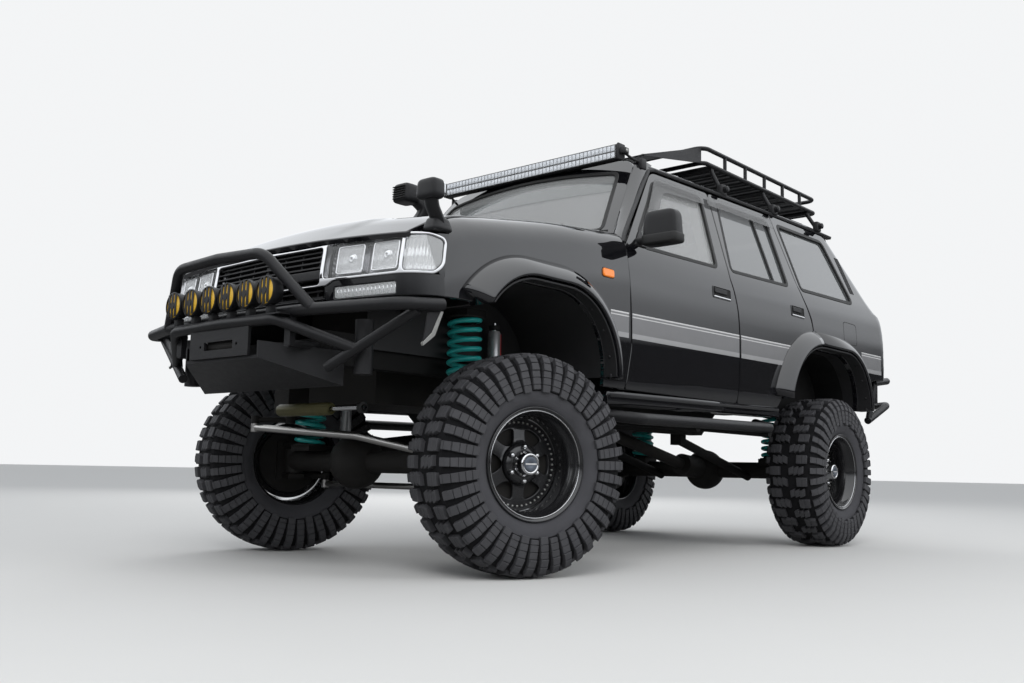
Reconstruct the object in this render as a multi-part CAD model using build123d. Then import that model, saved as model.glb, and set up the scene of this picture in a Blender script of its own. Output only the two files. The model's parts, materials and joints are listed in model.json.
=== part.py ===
from build123d import *
import math
import os

# A lifted off-road 4x4 estate, in millimetres: +X to the car's left, +Z up, the nose towards -Y.
# It is drawn with y = 0 at the front axle and z = 0 on the ground. SHIFT then moves every piece
# so that the origin is on the ground under the middle of the whole vehicle.

# Driving dimensions
WHEELBASE = 2850
HUB_Z = 452
TYRE_R = 452
TYRE_X = 815
TREAD_W = 258
SECTION_W = 340
RIM_LIP_R = 228
RIM_BARREL_R = 205
RIM_X0, RIM_X1 = 690, 957
BOLT_R = 139.7 / 2
NOSE_Y = -982
TAIL_Y = 4040
SHIFT = Pos(0, -(NOSE_Y + TAIL_Y) / 2, 0)

# Steering: the front wheels stand turned to the car's right, as the vehicle is parked.
KING_X = 720
STEER = -16.7
ARM_X, ARM_Y = 60, 150
LINK_Z = 430
TIE_Z = 378
PITMAN = (-430, -250, 640)
SPINDLE_R, BORE_PLAY = 30, 0.05
KING_PIN_R = 16

# Body shape: z values are at y = 0 and the whole upper body rises RISE mm for each mm to the rear.
RISE = 0.026
BODY_Y0, BODY_Y1, TAPER_Y = 594, 3990, 2400
TAPER = 0.02
FLOOR_Z, FLOOR_T = 830, 35
LOAD_Z, STEP_Y = 1085, 2110
BELT_X, BELT_Z = 890, 1458
GUTTER_X, GUTTER_Z = 672, 1980
ROOF_X, ROOF_Z, CROWN_Z = 645, 2005, 2075
DOOR_T, PILLAR_T, ROOF_T = 105, 40, 35
SHELL_T = 25
HOUSE_T = 15
SCREEN_SLOPE = 357 / 419
TAIL_SLOPE = -255 / 447
GAP = 6
GLASS_IN, GLASS_T = 12, 6
HOOD_Z, HOOD_RISE = 1540, 0.15
NOSE_TOP_Z, NOSE_RISE = 1732, 0.55
HOOD_EDGE_Z = 1318
PANEL_Z = 1068
HOOD_REAR_Y = 540
ARCH_IN_FRONT, ARCH_IN_REAR = 440, 600
FLARE_X, FLARE_ROOT, FLARE_LIP = 985, 112, 24
FLARE_FOOT_Z, FRONT_FLARE_FOOT_Z = 838, 1046
HINGE_X, FRONT_HINGE_Y, REAR_HINGE_Y = 922, 597, 1584
MIDDLE_X = 800
SPRING_X, SPRING_Y, SPRING_TOP = 520, -59, 1080
REAR_SPRING_X = 500
RAIL_X, RAIL_W, RAIL_H = 380, 76, 130
RAIL_Y0 = -740
FAIRLEAD_X, FAIRLEAD_HOLE_R, FAIRLEAD_Y = 127, 6.5, -940
PLATE_T = 12

# Front bumper: each bar's points from its left end to the middle, its radius and its bends' radius
MAIN_BAR = ([(884, -560, 1034), (862, -750, 1018), (500, -865, 1013), (0, -888, 1012)], 24, 90)
HOOP_BAR = ([(500, -868, 1018), (298, NOSE_Y + 27, 1238), (0, NOSE_Y + 22, 1248)], 22, 110)
LOWER_BAR = ([(618, -746, 866), (350, -925, 980), (0, -935, 985)], 22, 90)
BRACE_R = 20
HORN_R = 16
SHELF_Z = 1002
LAMP_X, LAMP_Z, LAMP_R = (65, 194, 325), 1087, 58

# Roof rack
RACK_X, RACK_Y0, RACK_Y1 = 616, 1799, 3285
RACK_Z0, RACK_Z1 = 2212, 2303
RACK_POST_Y = (2045, 2295, 2545, 2795, 3045)
FAIRING_Y = 1210

# Outlines in side view, as (y, z) corners
FRONT_DOOR = [(614, 1467), (632, 1300), (640, 1000), (606, 798), (1654, 798), (1656, 1150), (1640, 1320),
              (1584, 1505), (1722, 2004), (1130, 1985)]
REAR_DOOR = [(1590, 1505), (1646, 1320), (1662, 1150), (1660, 798), (2100, 798), (2165, 853), (2590, 1190),
             (2585, 1300), (2520, 1430), (2440, 1540), (2475, 2024), (1728, 2004)]
FRONT_REAR_EDGE = [(1654, 798), (1656, 1150), (1640, 1320), (1584, 1505), (1722, 2004)]
REAR_REAR_EDGE = [(2100, 798), (2165, 853), (2590, 1190), (2585, 1300), (2520, 1430), (2440, 1540),
                  (2475, 2024)]
FRONT_WINDOW = [(780, 1494), (780, 1566), (1150, 1932), (1612, 1944), (1462, 1512)]
REAR_WINDOW = [(1622, 1516), (1790, 1949), (2385, 1964), (2298, 1534)]
QUARTER_WINDOW = [(2480, 1540), (2540, 1968), (3215, 1985), (3285, 1562)]
FRONT_LOWER = [(-760, PANEL_Z), (-430, PANEL_Z), (-430, 796), (BODY_Y0, 796), (BODY_Y0, 1760), (-760, 1760)]
CABIN_SIDE = [(BODY_Y0, 796), (3290, 796), (3290, 1000), (3420, 1040), (3880, 1165), (BODY_Y1, 1165),
              (BODY_Y1, 2300), (BODY_Y0, 2300)]
CABIN_MIDDLE = [(BODY_Y0, 796), (STEP_Y, 796), (STEP_Y, LOAD_Z - FLOOR_T), (BODY_Y1, LOAD_Z - FLOOR_T),
                (BODY_Y1, 2300), (BODY_Y0, 2300)]


def side_prism(points, x0, x1):
    """Solid from x0 to x1 with an outline of (y, z) points."""
    return extrude(Plane.YZ.offset(x0) * Polygon(*points, align=None), amount=x1 - x0, dir=(1, 0, 0))


def plan_prism(points, z0, z1):
    """Solid from z0 to z1 with an outline of (x, y) points."""
    return extrude(Plane.XY.offset(z0) * Polygon(*points, align=None), amount=z1 - z0, dir=(0, 0, 1))


def front_prism(points, y0, y1):
    """Solid from y0 to y1 with an outline of (x, z) points."""
    plane = Plane(origin=(0, y0, 0), x_dir=(1, 0, 0), z_dir=(0, -1, 0))
    return extrude(plane * Polygon(*points, align=None), amount=y1 - y0, dir=(0, 1, 0))


def block(x0, x1, y0, y1, z0, z1):
    return Pos((x0 + x1) / 2, (y0 + y1) / 2, (z0 + z1) / 2) * Box(x1 - x0, y1 - y0, z1 - z0)


def rod(start, end, radius):
    """Round bar between two points."""
    a, b = Vector(*start), Vector(*end)
    return extrude(Plane(origin=a, z_dir=b - a) * Circle(radius), amount=(b - a).length)


def tube(points, radius, bend):
    """Round bar along a bent line."""
    path = FilletPolyline(*points, radius=bend)
    return sweep(Plane(origin=path @ 0, z_dir=path % 0) * Circle(radius), path=path)


def span(points, radius, bend):
    """Round bar from the left to the right, alike on both sides; the last point is on the middle plane."""
    other_side = [(-x, y, z) for x, y, z in reversed(points[:-1])]
    return tube(points + other_side, radius, bend)


def mirrored(shape):
    return mirror(shape, about=Plane.YZ)


def both(shape):
    return shape + mirrored(shape)


def disc(x0, x1, radius, y=0, z=HUB_Z):
    """Round plate with its axis along X."""
    return rod((x0, y, z), (x1, y, z), radius)


def arch_outline(rear, grow=0.0):
    """Wheel arch opening in side view as a face of straight lines and two arcs."""
    if rear:
        front_c, front_r, rear_c, rear_r = (2610, 735), 450, (2950, 850), 335
    else:
        front_c, front_r, rear_c, rear_r = (-100, 850), 335, (100, 850), 335
    a, b = front_r + grow, rear_r + grow
    c, s = math.cos(math.radians(45)), math.sin(math.radians(45))
    low = 600
    lines = Polyline((front_c[0] - a, front_c[1]), (front_c[0] - a, low), (rear_c[0] + b, low),
                     (rear_c[0] + b, rear_c[1]))
    rise = ThreePointArc((rear_c[0] + b, rear_c[1]), (rear_c[0] + b * c, rear_c[1] + b * s),
                         (rear_c[0], rear_c[1] + b))
    top = Line((rear_c[0], rear_c[1] + b), (front_c[0], front_c[1] + a))
    fall = ThreePointArc((front_c[0], front_c[1] + a), (front_c[0] - a * c, front_c[1] + a * s),
                         (front_c[0] - a, front_c[1]))
    return make_face(lines + rise + top + fall)


def arch_prism(rear, x0, x1, grow=0.0):
    return extrude(Plane.YZ.offset(x0) * arch_outline(rear, grow), amount=x1 - x0, dir=(1, 0, 0))


# Upper body as intersections of straight prisms

def half_section(low, up, roof):
    """Cross-section at y = 0, bounded on the left side only, low, up and roof mm inside the skin."""
    step = 22 if low else 0
    side = Polyline((-1100, 500), (855 - low, 500), (870 - low, 700), (905 - low, 790), (916 - low, 1000),
                    (916 - low, 1230), (906 - low, 1380), (BELT_X - low, BELT_Z - step),
                    (884 - up, 1475), (GUTTER_X - up, GUTTER_Z), (ROOF_X - up, ROOF_Z - roof))
    crown = ThreePointArc((ROOF_X - up, ROOF_Z - roof), ((ROOF_X - up) / 2, CROWN_Z - roof - 18),
                          (0, CROWN_Z - roof))
    rest = Polyline((0, CROWN_Z - roof), (-1100, CROWN_Z - roof), (-1100, 500))
    return make_face(side + crown + rest)


def raked(face, y0, y1, taper):
    """The section face carried from y0 to y1 along the body's rise and taper."""
    plane = Plane(origin=(0, y0, RISE * y0), x_dir=(1, 0, 0), z_dir=(0, -1, 0))
    run = y1 - y0
    step = Vector(-taper * run, run, RISE * run)
    return extrude(plane * face, amount=step.length, dir=step)


def screen_region(inset):
    """Everything behind the windscreen's curved, sloping surface."""
    z0, y_mid, y_side = 1568, 580 + inset, 690 + inset
    arc = ThreePointArc((-762, y_side), (0, y_mid), (762, y_side))
    edge = Polyline((762, y_side), (1100, y_side - 60), (1100, 5500), (-1100, 5500), (-1100, y_side - 60),
                    (-762, y_side))
    face = make_face(arc + edge)
    down, up = 1200, 800
    step = Vector(0, SCREEN_SLOPE * (down + up), down + up)
    return extrude(Pos(0, -SCREEN_SLOPE * down, z0 - down) * face, amount=step.length, dir=step)


def tail_region(inset, low_inset):
    """Everything ahead of the sloping tail window and of the upright tail below it."""
    z0, y_mid, y_side = 1531, 3850 - inset, 3755 - inset
    back = ThreePointArc((-690, y_side), (0, y_mid), (690, y_side))
    corner = ThreePointArc((690, y_side), (780 - inset / 2, y_side - 60), (812 - inset / 2, y_side - 190))
    front = Polyline((812 - inset / 2, y_side - 190), (900, 2300), (900, 0), (-900, 0), (-900, 2300),
                     (-812 + inset / 2, y_side - 190))
    face = make_face(back + corner + front + mirror(corner, about=Plane.YZ))
    down, up = 60, 800
    step = Vector(0, TAIL_SLOPE * (down + up), down + up)
    upper = extrude(Pos(0, -TAIL_SLOPE * down, z0 - down) * face, amount=step.length, dir=step)
    y_mid, y_side = 3918 - low_inset, 3885 - low_inset
    back = ThreePointArc((-730, y_side), (0, y_mid), (730, y_side))
    corner = ThreePointArc((730, y_side), (820 - low_inset / 2, y_side - 45), (868 - low_inset / 2, y_side - 190))
    front = Polyline((868 - low_inset / 2, y_side - 190), (930, 2300), (930, 0), (-930, 0), (-930, 2300),
                     (-868 + low_inset / 2, y_side - 190))
    face = make_face(back + corner + front + mirror(corner, about=Plane.YZ))
    lower = extrude(Pos(0, 0, 500) * face, amount=z0 - 500, dir=(0, 0, 1))
    return upper + lower


def cabin(low, up, roof, front, rear, y0):
    """The cabin's closed shape, inset from its skin by the given amounts."""
    face = half_section(low, up, roof)
    left = raked(face, y0, TAPER_Y, 0) + raked(face, TAPER_Y, BODY_Y1, TAPER)
    shape = left & mirrored(left)
    return shape & screen_region(front) & tail_region(rear, rear)


def hood_region(z, rise, inset):
    """Everything below a crowned surface that climbs to the rear; z is the crown's height at y = 0."""
    y0, y1 = -900, 700
    top = z - inset
    crown = ThreePointArc((-800, top - 58), (0, top), (800, top - 58))
    rest = Polyline((800, top - 58), (860 - inset / 2, top - 80), (903 - inset, top - 130), (916 - inset, top - 300),
                    (916 - inset, 0), (-916 + inset, 0), (-916 + inset, top - 300), (-903 + inset, top - 130),
                    (-860 + inset / 2, top - 80), (-800, top - 58))
    plane = Plane(origin=(0, y0, rise * y0), x_dir=(1, 0, 0), z_dir=(0, -1, 0))
    step = Vector(0, y1 - y0, rise * (y1 - y0))
    return extrude(plane * make_face(crown + rest), amount=step.length, dir=step)


def nose_plan(inset):
    """Plan of the nose: a bowed front with a rounded corner each side."""
    y_mid, y_side = -748 + inset, -675 + inset
    bow = ThreePointArc((-776, y_side), (0, y_mid), (776, y_side))
    corner = ThreePointArc((776, y_side), (842 - inset / 2, -622 + inset), (880 - inset, -546))
    flank = Polyline((880 - inset, -546), (905 - inset, -230), (917 - inset, 250), (917 - inset, 700),
                     (-917 + inset, 700), (-917 + inset, 250), (-905 + inset, -230), (-880 + inset, -546))
    return make_face(bow + corner + flank + mirror(corner, about=Plane.YZ))


def nose(inset):
    """The front body's closed shape ahead of the doors."""
    shape = extrude(Pos(0, 0, 600) * nose_plan(inset), amount=1200, dir=(0, 0, 1))
    shape &= hood_region(HOOD_Z, HOOD_RISE, inset)
    return shape & hood_region(NOSE_TOP_Z, NOSE_RISE, inset)


def gutter_split():
    """Everything above the drip rails."""
    return raked(make_face(Polyline((-1000, GUTTER_Z + 4), (1000, GUTTER_Z + 4), (1000, 2300), (-1000, 2300),
                                    close=True)), 300, BODY_Y1, 0)


TUB_X = 790
COWL_ZONE = [(-TUB_X, BELT_Z - 25), (TUB_X, BELT_Z - 25), (735, 1585), (-735, 1585)]
GATE_LOW = [(-712, 1150), (712, 1150), (712, 1538), (-712, 1538)]
GATE_HIGH = [(-712, 1544), (712, 1544), (700, 1600), (585, 2052), (0, 2120), (-585, 2052), (-700, 1600)]
GATE_WINDOW = [(-640, 1610), (640, 1610), (535, 2010), (-535, 2010)]
SCREEN_OPENING = [(-700, 1590), (700, 1590), (590, 1962), (0, 2000), (-590, 1962)]


def grown(points, amount):
    """The outline made larger all round, to leave a gap about a panel."""
    return offset(Polygon(*points, align=None), amount, kind=Kind.INTERSECTION)


def grown_side(points, amount, x0, x1):
    return extrude(Plane.YZ.offset(x0) * grown(points, amount), amount=x1 - x0, dir=(1, 0, 0))


def grown_front(points, amount, y0, y1):
    plane = Plane(origin=(0, y0, 0), x_dir=(1, 0, 0), z_dir=(0, -1, 0))
    return extrude(plane * grown(points, amount), amount=y1 - y0, dir=(0, 1, 0))


def hinge_relief(door, edge, hinge_y, depth):
    """Slants a door's rear edge, so that its inner corner clears what is behind it as it swings."""
    for (y0, z0), (y1, z1) in zip(edge, edge[1:]):
        x0, x1 = skin_x(z0, y0), skin_x(z1, y1)
        slope = (HINGE_X - min(x0, x1) + depth) / (max(y0, y1) - hinge_y)
        wedge = Polygon((12, 0), (12, 60), (-160, 60), (-160, -slope * 160), (0, 0), align=None)
        step = Vector(x1 - x0, y1 - y0, z1 - z0)
        door -= extrude(Pos(x0, y0, z0) * wedge, amount=step.length, dir=step)
    return door


def skin_x(z, y):
    """Half width of the body's skin at a height."""
    level = z - RISE * y
    if level > 1475:
        return 884 + (GUTTER_X - 884) * (level - 1475) / (GUTTER_Z - 1475)
    return 916


def flare(rear):
    """Over-fender: a ruled band from the body skin out to its lip."""
    root = Plane.YZ.offset(895) * arch_outline(rear, FLARE_ROOT)
    lip = Plane.YZ.offset(FLARE_X) * arch_outline(rear, FLARE_LIP)
    band = loft([root, lip], ruled=True) - arch_prism(rear, 800, 1100)
    if not rear:
        band -= block(800, 1100, -900, -300, 700, FRONT_FLARE_FOOT_Z)
    return band & block(800, 1100, -900, 4000, FLARE_FOOT_Z, 1500)


def cabin_panels(out):
    """The cabin walls, split into floor, sides, roof, doors and tailgates."""
    sides = both(side_prism(CABIN_SIDE, MIDDLE_X, 1200))
    outer = cabin(0, 0, 0, 0, 0, BODY_Y0) & (sides + side_prism(CABIN_MIDDLE, -MIDDLE_X, MIDDLE_X))
    hollow = block(-1200, 1200, 0, STEP_Y - FLOOR_T, FLOOR_Z, 2500)
    hollow += block(-1200, 1200, STEP_Y - FLOOR_T, 5000, LOAD_Z, 2500)
    inner = cabin(DOOR_T, PILLAR_T, ROOF_T, 50, 75, BODY_Y0 + 40) & hollow
    shell = outer - inner
    shell -= both(arch_prism(True, ARCH_IN_REAR, 1200))
    shell -= front_prism(SCREEN_OPENING, 300, 1500)
    tail = block(-1200, 1200, 3300, 4200, 0, 2500)
    gate_low = shell & tail & front_prism(GATE_LOW, 3700, 4200)
    gate_high = shell & tail & front_prism(GATE_HIGH, 3300, 4200)
    shell -= tail & (grown_front(GATE_LOW, GAP, 3700, 4200) + grown_front(GATE_HIGH, GAP, 3300, 4200))
    out["tailgate_lower"] = gate_low - block(-1200, 1200, 3300, 3835, 0, 1600)
    out["tailgate_upper"] = gate_high - front_prism(GATE_WINDOW, 3300, 4200)
    above = gutter_split()
    out["roof"] = shell & above
    shell -= above
    zone = block(-TUB_X, TUB_X, 0, 3700, 700, BELT_Z - 25) + front_prism(COWL_ZONE, 0, 1100)
    inside = (shell & zone) - both(arch_prism(True, ARCH_IN_REAR - HOUSE_T, TUB_X, HOUSE_T))
    front = block(-1200, 1200, 0, 1100, FLOOR_Z, 1700)
    out["floor"] = inside - front
    out["bulkhead"] = (inside & front) + cowl()
    out["wheelhouses"] = wheelhouses()
    shell -= zone
    left = shell & block(0, 1200, 0, 5000, 0, 2500)
    rear_flare = flare(True)
    skin = left + rear_flare
    front = (left & side_prism(FRONT_DOOR, 300, 1200)) - side_prism(FRONT_WINDOW, 300, 1200)
    rear = (skin & side_prism(REAR_DOOR, 300, 1200)) - side_prism(REAR_WINDOW, 300, 1200)
    out["front_door_left"] = hinge_relief(front, FRONT_REAR_EDGE, FRONT_HINGE_Y, DOOR_T) + mirror_head()
    out["rear_door_left"] = hinge_relief(rear, REAR_REAR_EDGE, REAR_HINGE_Y, DOOR_T)
    for outline in (FRONT_DOOR, REAR_DOOR):
        skin -= grown_side(outline, GAP, 300, 1200)
    skin -= side_prism(QUARTER_WINDOW, 300, 1200)
    out["body_side_left"] = skin + sill() + b_pillar()
    for name in ("front_door", "rear_door", "body_side"):
        out[name + "_right"] = mirrored(out[name + "_left"])


def sill():
    top, step = 792, 800
    outline = [(482, 723), (2160, 762), (2160, step), (2107, step), (2107, top), (599, top), (599, step),
               (BODY_Y0, step), (BODY_Y0, top - 2), (482, top - 2)]
    return side_prism(outline, 790, 893)


def b_pillar():
    """Post inside the doors, from the sill to the roof rail."""
    post = [(1590, FLOOR_Z), (1700, FLOOR_Z), (1700, 1500), (1760, 2030), (1650, 2028), (1560, 1500)]
    strip = side_prism(post, 0, 1200)
    gap = 8
    outside = cabin(DOOR_T + gap, PILLAR_T + gap, ROOF_T, 60, 80, BODY_Y0)
    inside = cabin(DOOR_T + 45, PILLAR_T + 40, ROOF_T, 60, 80, BODY_Y0)
    return (outside - inside) & strip & block(600, 1200, 0, 5000, 0, 2500)


def mirror_head():
    """Door mirror: a rounded head on a foot at the window's front corner."""
    head = Pos(1020, 735, 1560) * Box(190, 90, 165)
    head = fillet(head.edges(), 22)
    foot = rod((850, 738, 1530), (960, 738, 1535), 20)
    return head + foot


def cowl():
    """Panel below the hood's rear edge, ahead of the windscreen."""
    plate = nose(60) - nose(85)
    return plate & block(-770, 770, 440, BODY_Y0, 1200, 1700)


def wheelhouses():
    """Inner housing round each rear wheel."""
    band = arch_prism(True, ARCH_IN_REAR - HOUSE_T, TUB_X, HOUSE_T) - arch_prism(True, ARCH_IN_REAR, 900)
    return both(band & block(0, 1200, 2000, 3600, 796, 1500))


def glass(out):
    """Windscreen, side windows and tail window, set a little inside the skin."""
    screen = screen_region(GLASS_IN) - screen_region(GLASS_IN + 9)
    out["windscreen"] = screen & front_prism(SCREEN_OPENING, 300, 1500)
    tail = tail_region(GLASS_IN, 0) - tail_region(GLASS_IN + 9, 0)
    out["tailgate_window"] = tail & front_prism(GATE_WINDOW, 3300, 4200) & block(-900, 900, 3300, 4200, 1580, 2200)
    layers = []
    for inset in (GLASS_IN, GLASS_IN + GLASS_T):
        face = half_section(0, inset, 0)
        layers.append(raked(face, BODY_Y0, TAPER_Y, 0) + raked(face, TAPER_Y, BODY_Y1, TAPER))
    sheet = (layers[0] - layers[1]) & block(500, 1200, 0, 5000, 1470, 2000)
    windows = {"front_window": FRONT_WINDOW, "rear_window": REAR_WINDOW}
    for name, outline in windows.items():
        out[name + "_left"] = sheet & side_prism(outline, 300, 1200)
        out[name + "_right"] = mirrored(out[name + "_left"])
    out["quarter_windows"] = both(sheet & side_prism(QUARTER_WINDOW, 300, 1200))


def front_panels(out):
    """Hood, fenders with flares and liners, and the panel that holds grille and lamps."""
    shell = (nose(0) - nose(SHELL_T)) & side_prism(FRONT_LOWER, -1200, 1200)
    shell -= both(arch_prism(False, ARCH_IN_FRONT, 1200))
    zone = [(-792, -800), (792, -800), (776, HOOD_REAR_Y), (-776, HOOD_REAR_Y)]
    out["hood"] = shell & plan_prism(zone, HOOD_EDGE_Z, 1800)
    wide = [(-798, -800), (798, -800), (782, HOOD_REAR_Y), (782, 700), (-782, 700), (-782, HOOD_REAR_Y)]
    shell -= plan_prism(wide, HOOD_EDGE_Z - GAP, 1800)
    face = block(-1200, 1200, -900, -546, PANEL_Z, HOOD_EDGE_Z - GAP)
    panel = shell & face
    shell -= face
    lamps = both(block(425, 1000, -900, -560, 1160, 1270))
    out["headlamps"] = panel & lamps
    grille_back = block(-425, 425, -722, -695, 1175, 1285)
    opening = block(-395, 395, -900, -705, 1195, 1268)
    out["front_panel"] = (panel - lamps) + grille_back - opening
    liner = arch_prism(False, ARCH_IN_FRONT - HOUSE_T, 900, HOUSE_T) - arch_prism(False, ARCH_IN_FRONT, 1000)
    liner &= block(0, 1200, -560, 590, 838, 1500)
    sheet = [(-540, 900), (594, 900), (594, 1420), (-540, 1330)]
    apron = side_prism(sheet, ARCH_IN_FRONT - HOUSE_T, ARCH_IN_FRONT)
    left = (shell & block(0, 1200, -900, 700, 0, 1800)) + liner + apron + flare(False)
    left -= block(0, 1200, BODY_Y0, 700, 0, 2000)
    out["fender_right"] = mirrored(left)
    out["fender_left"] = left + fender_mirror()


def fender_mirror():
    """Small wide-angle mirror on its stand at the front of the left fender."""
    stand = rod((845, -560, 1330), (862, -606, 1430), 16)
    head = Pos(866, -622, 1466) * Box(110, 60, 78)
    return stand + fillet(head.edges(), 18)


# Running gear

def frame_rails():
    """The ladder frame's two rails, which climb over the axles."""
    half = RAIL_H / 2
    line = [(RAIL_Y0, 890), (360, 890), (560, 715), (2100, 715), (2330, 905), (3860, 940)]
    upper = [(y, z + half) for y, z in line]
    lower = [(y, z - half) for y, z in reversed(line)]
    return both(side_prism(upper + lower, RAIL_X - RAIL_W / 2, RAIL_X + RAIL_W / 2))


def cross_members():
    """What the rails carry: cross-members, spring towers, link brackets and the side bars' arms."""
    pieces = both(block(RAIL_X, SPRING_X + 70, SPRING_Y - 60, SPRING_Y + 60, SPRING_TOP, SPRING_TOP + 30))
    pieces += both(block(RAIL_X, RAIL_X + 30, SPRING_Y - 60, SPRING_Y + 60, 900, SPRING_TOP + 30))
    pieces += both(block(RAIL_X, 575, WHEELBASE - 60, WHEELBASE + 60, 930, 962))
    for y, z in ((-700, 890), (700, 700), (1480, 690), (2480, 910), (3500, 930)):
        pieces += block(-RAIL_X, RAIL_X, y - 40, y + 40, z - 35, z + 35)
    pieces += both(block(355, 435, 850, 910, 580, 670)) + both(block(295, 365, 1950, 2010, 590, 680))
    for y, z in ((1150, 700), (1900, 700)):
        pieces += both(rod((RAIL_X, y, z), (960, y, 650), 22))
    return pieces


def axle(y, diff_x):
    """Live axle: tubes, the diff's bowl and nose, and the spring perches."""
    beam = rod((-660, y, HUB_Z), (660, y, HUB_Z), 52)
    bowl = Pos(diff_x, y, HUB_Z) * Sphere(130)
    aim = 1 if y < WHEELBASE / 2 else -1
    bowl += rod((diff_x, y, HUB_Z), (diff_x, y + aim * 300, HUB_Z + 30), 70)
    return beam + bowl


def front_axle():
    shape = axle(0, -230)
    for side in (-1, 1):
        king = rod((side * KING_X, 0, HUB_Z - 60), (side * KING_X, 0, HUB_Z + 60), 46)
        shape += king + rod((side * 640, 0, HUB_Z), (side * 700, 0, HUB_Z), 52)
        shape += block(side * SPRING_X - 70, side * SPRING_X + 70, SPRING_Y - 60, 40, HUB_Z + 48, HUB_Z + 74)
    bores = Cylinder(KING_PIN_R + BORE_PLAY, 300)
    return shape - Pos(KING_X, 0, HUB_Z) * bores - Pos(-KING_X, 0, HUB_Z) * bores


def rear_axle():
    shape = axle(WHEELBASE, 0)
    for side in (-1, 1):
        x = side * REAR_SPRING_X
        shape += block(x - 70, x + 70, WHEELBASE - 70, WHEELBASE + 70, HUB_Z + 30, HUB_Z + 74)
        shape += disc(min(side * 640, side * 765), max(side * 640, side * 765), 60, WHEELBASE)
        shape += disc(min(side * 740, side * 765), max(side * 740, side * 765), 150, WHEELBASE)
        shape += disc(min(side * 760, side * 860), max(side * 760, side * 860), SPINDLE_R, WHEELBASE)
    return shape


def springs():
    """Coil springs as open sleeves between axle perch and frame seat."""
    shapes = []
    for x, y, top in ((SPRING_X, SPRING_Y, SPRING_TOP), (REAR_SPRING_X, WHEELBASE, 930)):
        height = top - HUB_Z - 74
        coil = Cylinder(75, height) - Cylinder(57, height)
        shapes.append(both(Pos(x, y, HUB_Z + 74 + height / 2) * coil))
    return shapes[0] + shapes[1]


def dampers():
    """Four telescopic dampers and the steering damper, which lies across the nose."""
    group = []
    for x, y, low_z, top_z in ((505, 150, 560, 1080), (545, WHEELBASE + 130, 560, 960)):
        tube_z = low_z + 0.8 * (top_z - low_z)
        body = rod((x, y, low_z), (x, y, tube_z), 27) + rod((x, y, low_z), (x, y, top_z), 10)
        group.append(both(body))
    steering = rod((-250, -440, 672), (110, -440, 672), 27) + rod((-250, -440, 672), (330, -440, 672), 9)
    return group[0] + group[1] + steering


def links():
    """Radius arms in front, trailing arms behind, side by side under the rails."""
    arm = rod((395, 20, 512), (395, 880, 616), 28)
    trail = rod((330, WHEELBASE - 20, 410), (330, 1980, 620), 26)
    return both(arm) + both(trail)


def drivetrain():
    """Engine, gearbox and the two propeller shafts' housings as plain blocks."""
    engine = block(-230, 230, -300, 520, 700, 1380)
    gearbox = block(-150, 150, 520, 1560, 600, 790)
    return engine + gearbox


def prop_shafts():
    front = rod((-230, 312, HUB_Z + 30), (-230, 640, 560), 32)
    rear = rod((0, 1575, 690), (0, WHEELBASE - 312, HUB_Z + 34), 36)
    return front + rear


# Steered parts, drawn straight ahead and then turned to the parked angle

def arm_tip(side, front):
    """Centre of a steering arm's eye at rest."""
    turn = math.radians(STEER)
    x, y = -ARM_X * side, (-ARM_Y if front else ARM_Y)
    return (side * KING_X + x * math.cos(turn) - y * math.sin(turn), x * math.sin(turn) + y * math.cos(turn))


def knuckle(side):
    """Steering knuckle: two ears with king pins, a web, brake disc, spindle and steering arms."""
    shape = block(772, 790, -70, 70, HUB_Z - 96, HUB_Z + 96)
    for low, high in ((-90, -66), (66, 90)):
        shape += block(KING_X - 40, 776, -42, 42, HUB_Z + low, HUB_Z + high)
    for low, high in ((-90, -20), (20, 90)):
        shape += rod((KING_X, 0, HUB_Z + low), (KING_X, 0, HUB_Z + high), KING_PIN_R)
    shape += disc(786, 802, 160) + disc(780, 870, SPINDLE_R)
    arms = [1] if side < 0 else [1, -1]
    for sign in arms:
        tip = (KING_X - ARM_X, sign * ARM_Y, TIE_Z if sign > 0 else LINK_Z)
        bar = rod((774, sign * 55, tip[2]), tip, 15)
        shape += bar + Pos(*tip) * Cylinder(20, 34)
        shape -= Pos(*tip) * Cylinder(9 + BORE_PLAY, 80)
    return turned(shape if side > 0 else mirrored(shape), side)


def turned(shape, side):
    """Turns a steered shape about its king pin to the parked angle."""
    return Pos(side * KING_X, 0, 0) * Rot(0, 0, STEER) * Pos(-side * KING_X, 0, 0) * shape


def wheel_shape(side):
    """Deep-dished wheel: barrel, lips, a six-window disc and the hub, drawn for the left side."""
    ring = [(RIM_X0, RIM_LIP_R), (RIM_X0, RIM_BARREL_R - 6), (RIM_X1, RIM_BARREL_R - 6), (RIM_X1, RIM_LIP_R),
            (RIM_X1 - 14, RIM_LIP_R), (RIM_X1 - 30, RIM_BARREL_R + 8), (RIM_X0 + 30, RIM_BARREL_R + 8),
            (RIM_X0 + 14, RIM_LIP_R)]
    face = Plane.XY * Polygon(*ring, align=None)
    barrel = revolve(face, axis=Axis.X)
    plate = rod((812, 0, 0), (830, 0, 0), RIM_BARREL_R)
    for k in range(6):
        window = Rot(60 * k, 0, 0) * rod((800, 0, 132), (840, 0, 132), 42)
        plate -= window
    hub = rod((812, 0, 0), (880, 0, 0), 68) - rod((800, 0, 0), (872, 0, 0), SPINDLE_R + BORE_PLAY)
    for k in range(6):
        angle = math.radians(60 * k + 30)
        hub_bolt = (BOLT_R * math.cos(angle), BOLT_R * math.sin(angle))
        plate += rod((830, *hub_bolt), (848, *hub_bolt), 12) - rod((800, 0, 0), (860, 0, 0), 60)
    shape = Pos(0, 0, HUB_Z) * (barrel + plate + hub - rod((790, 0, 0), (872, 0, 0), SPINDLE_R + BORE_PLAY))
    return shape if side > 0 else mirrored(shape)


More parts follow.
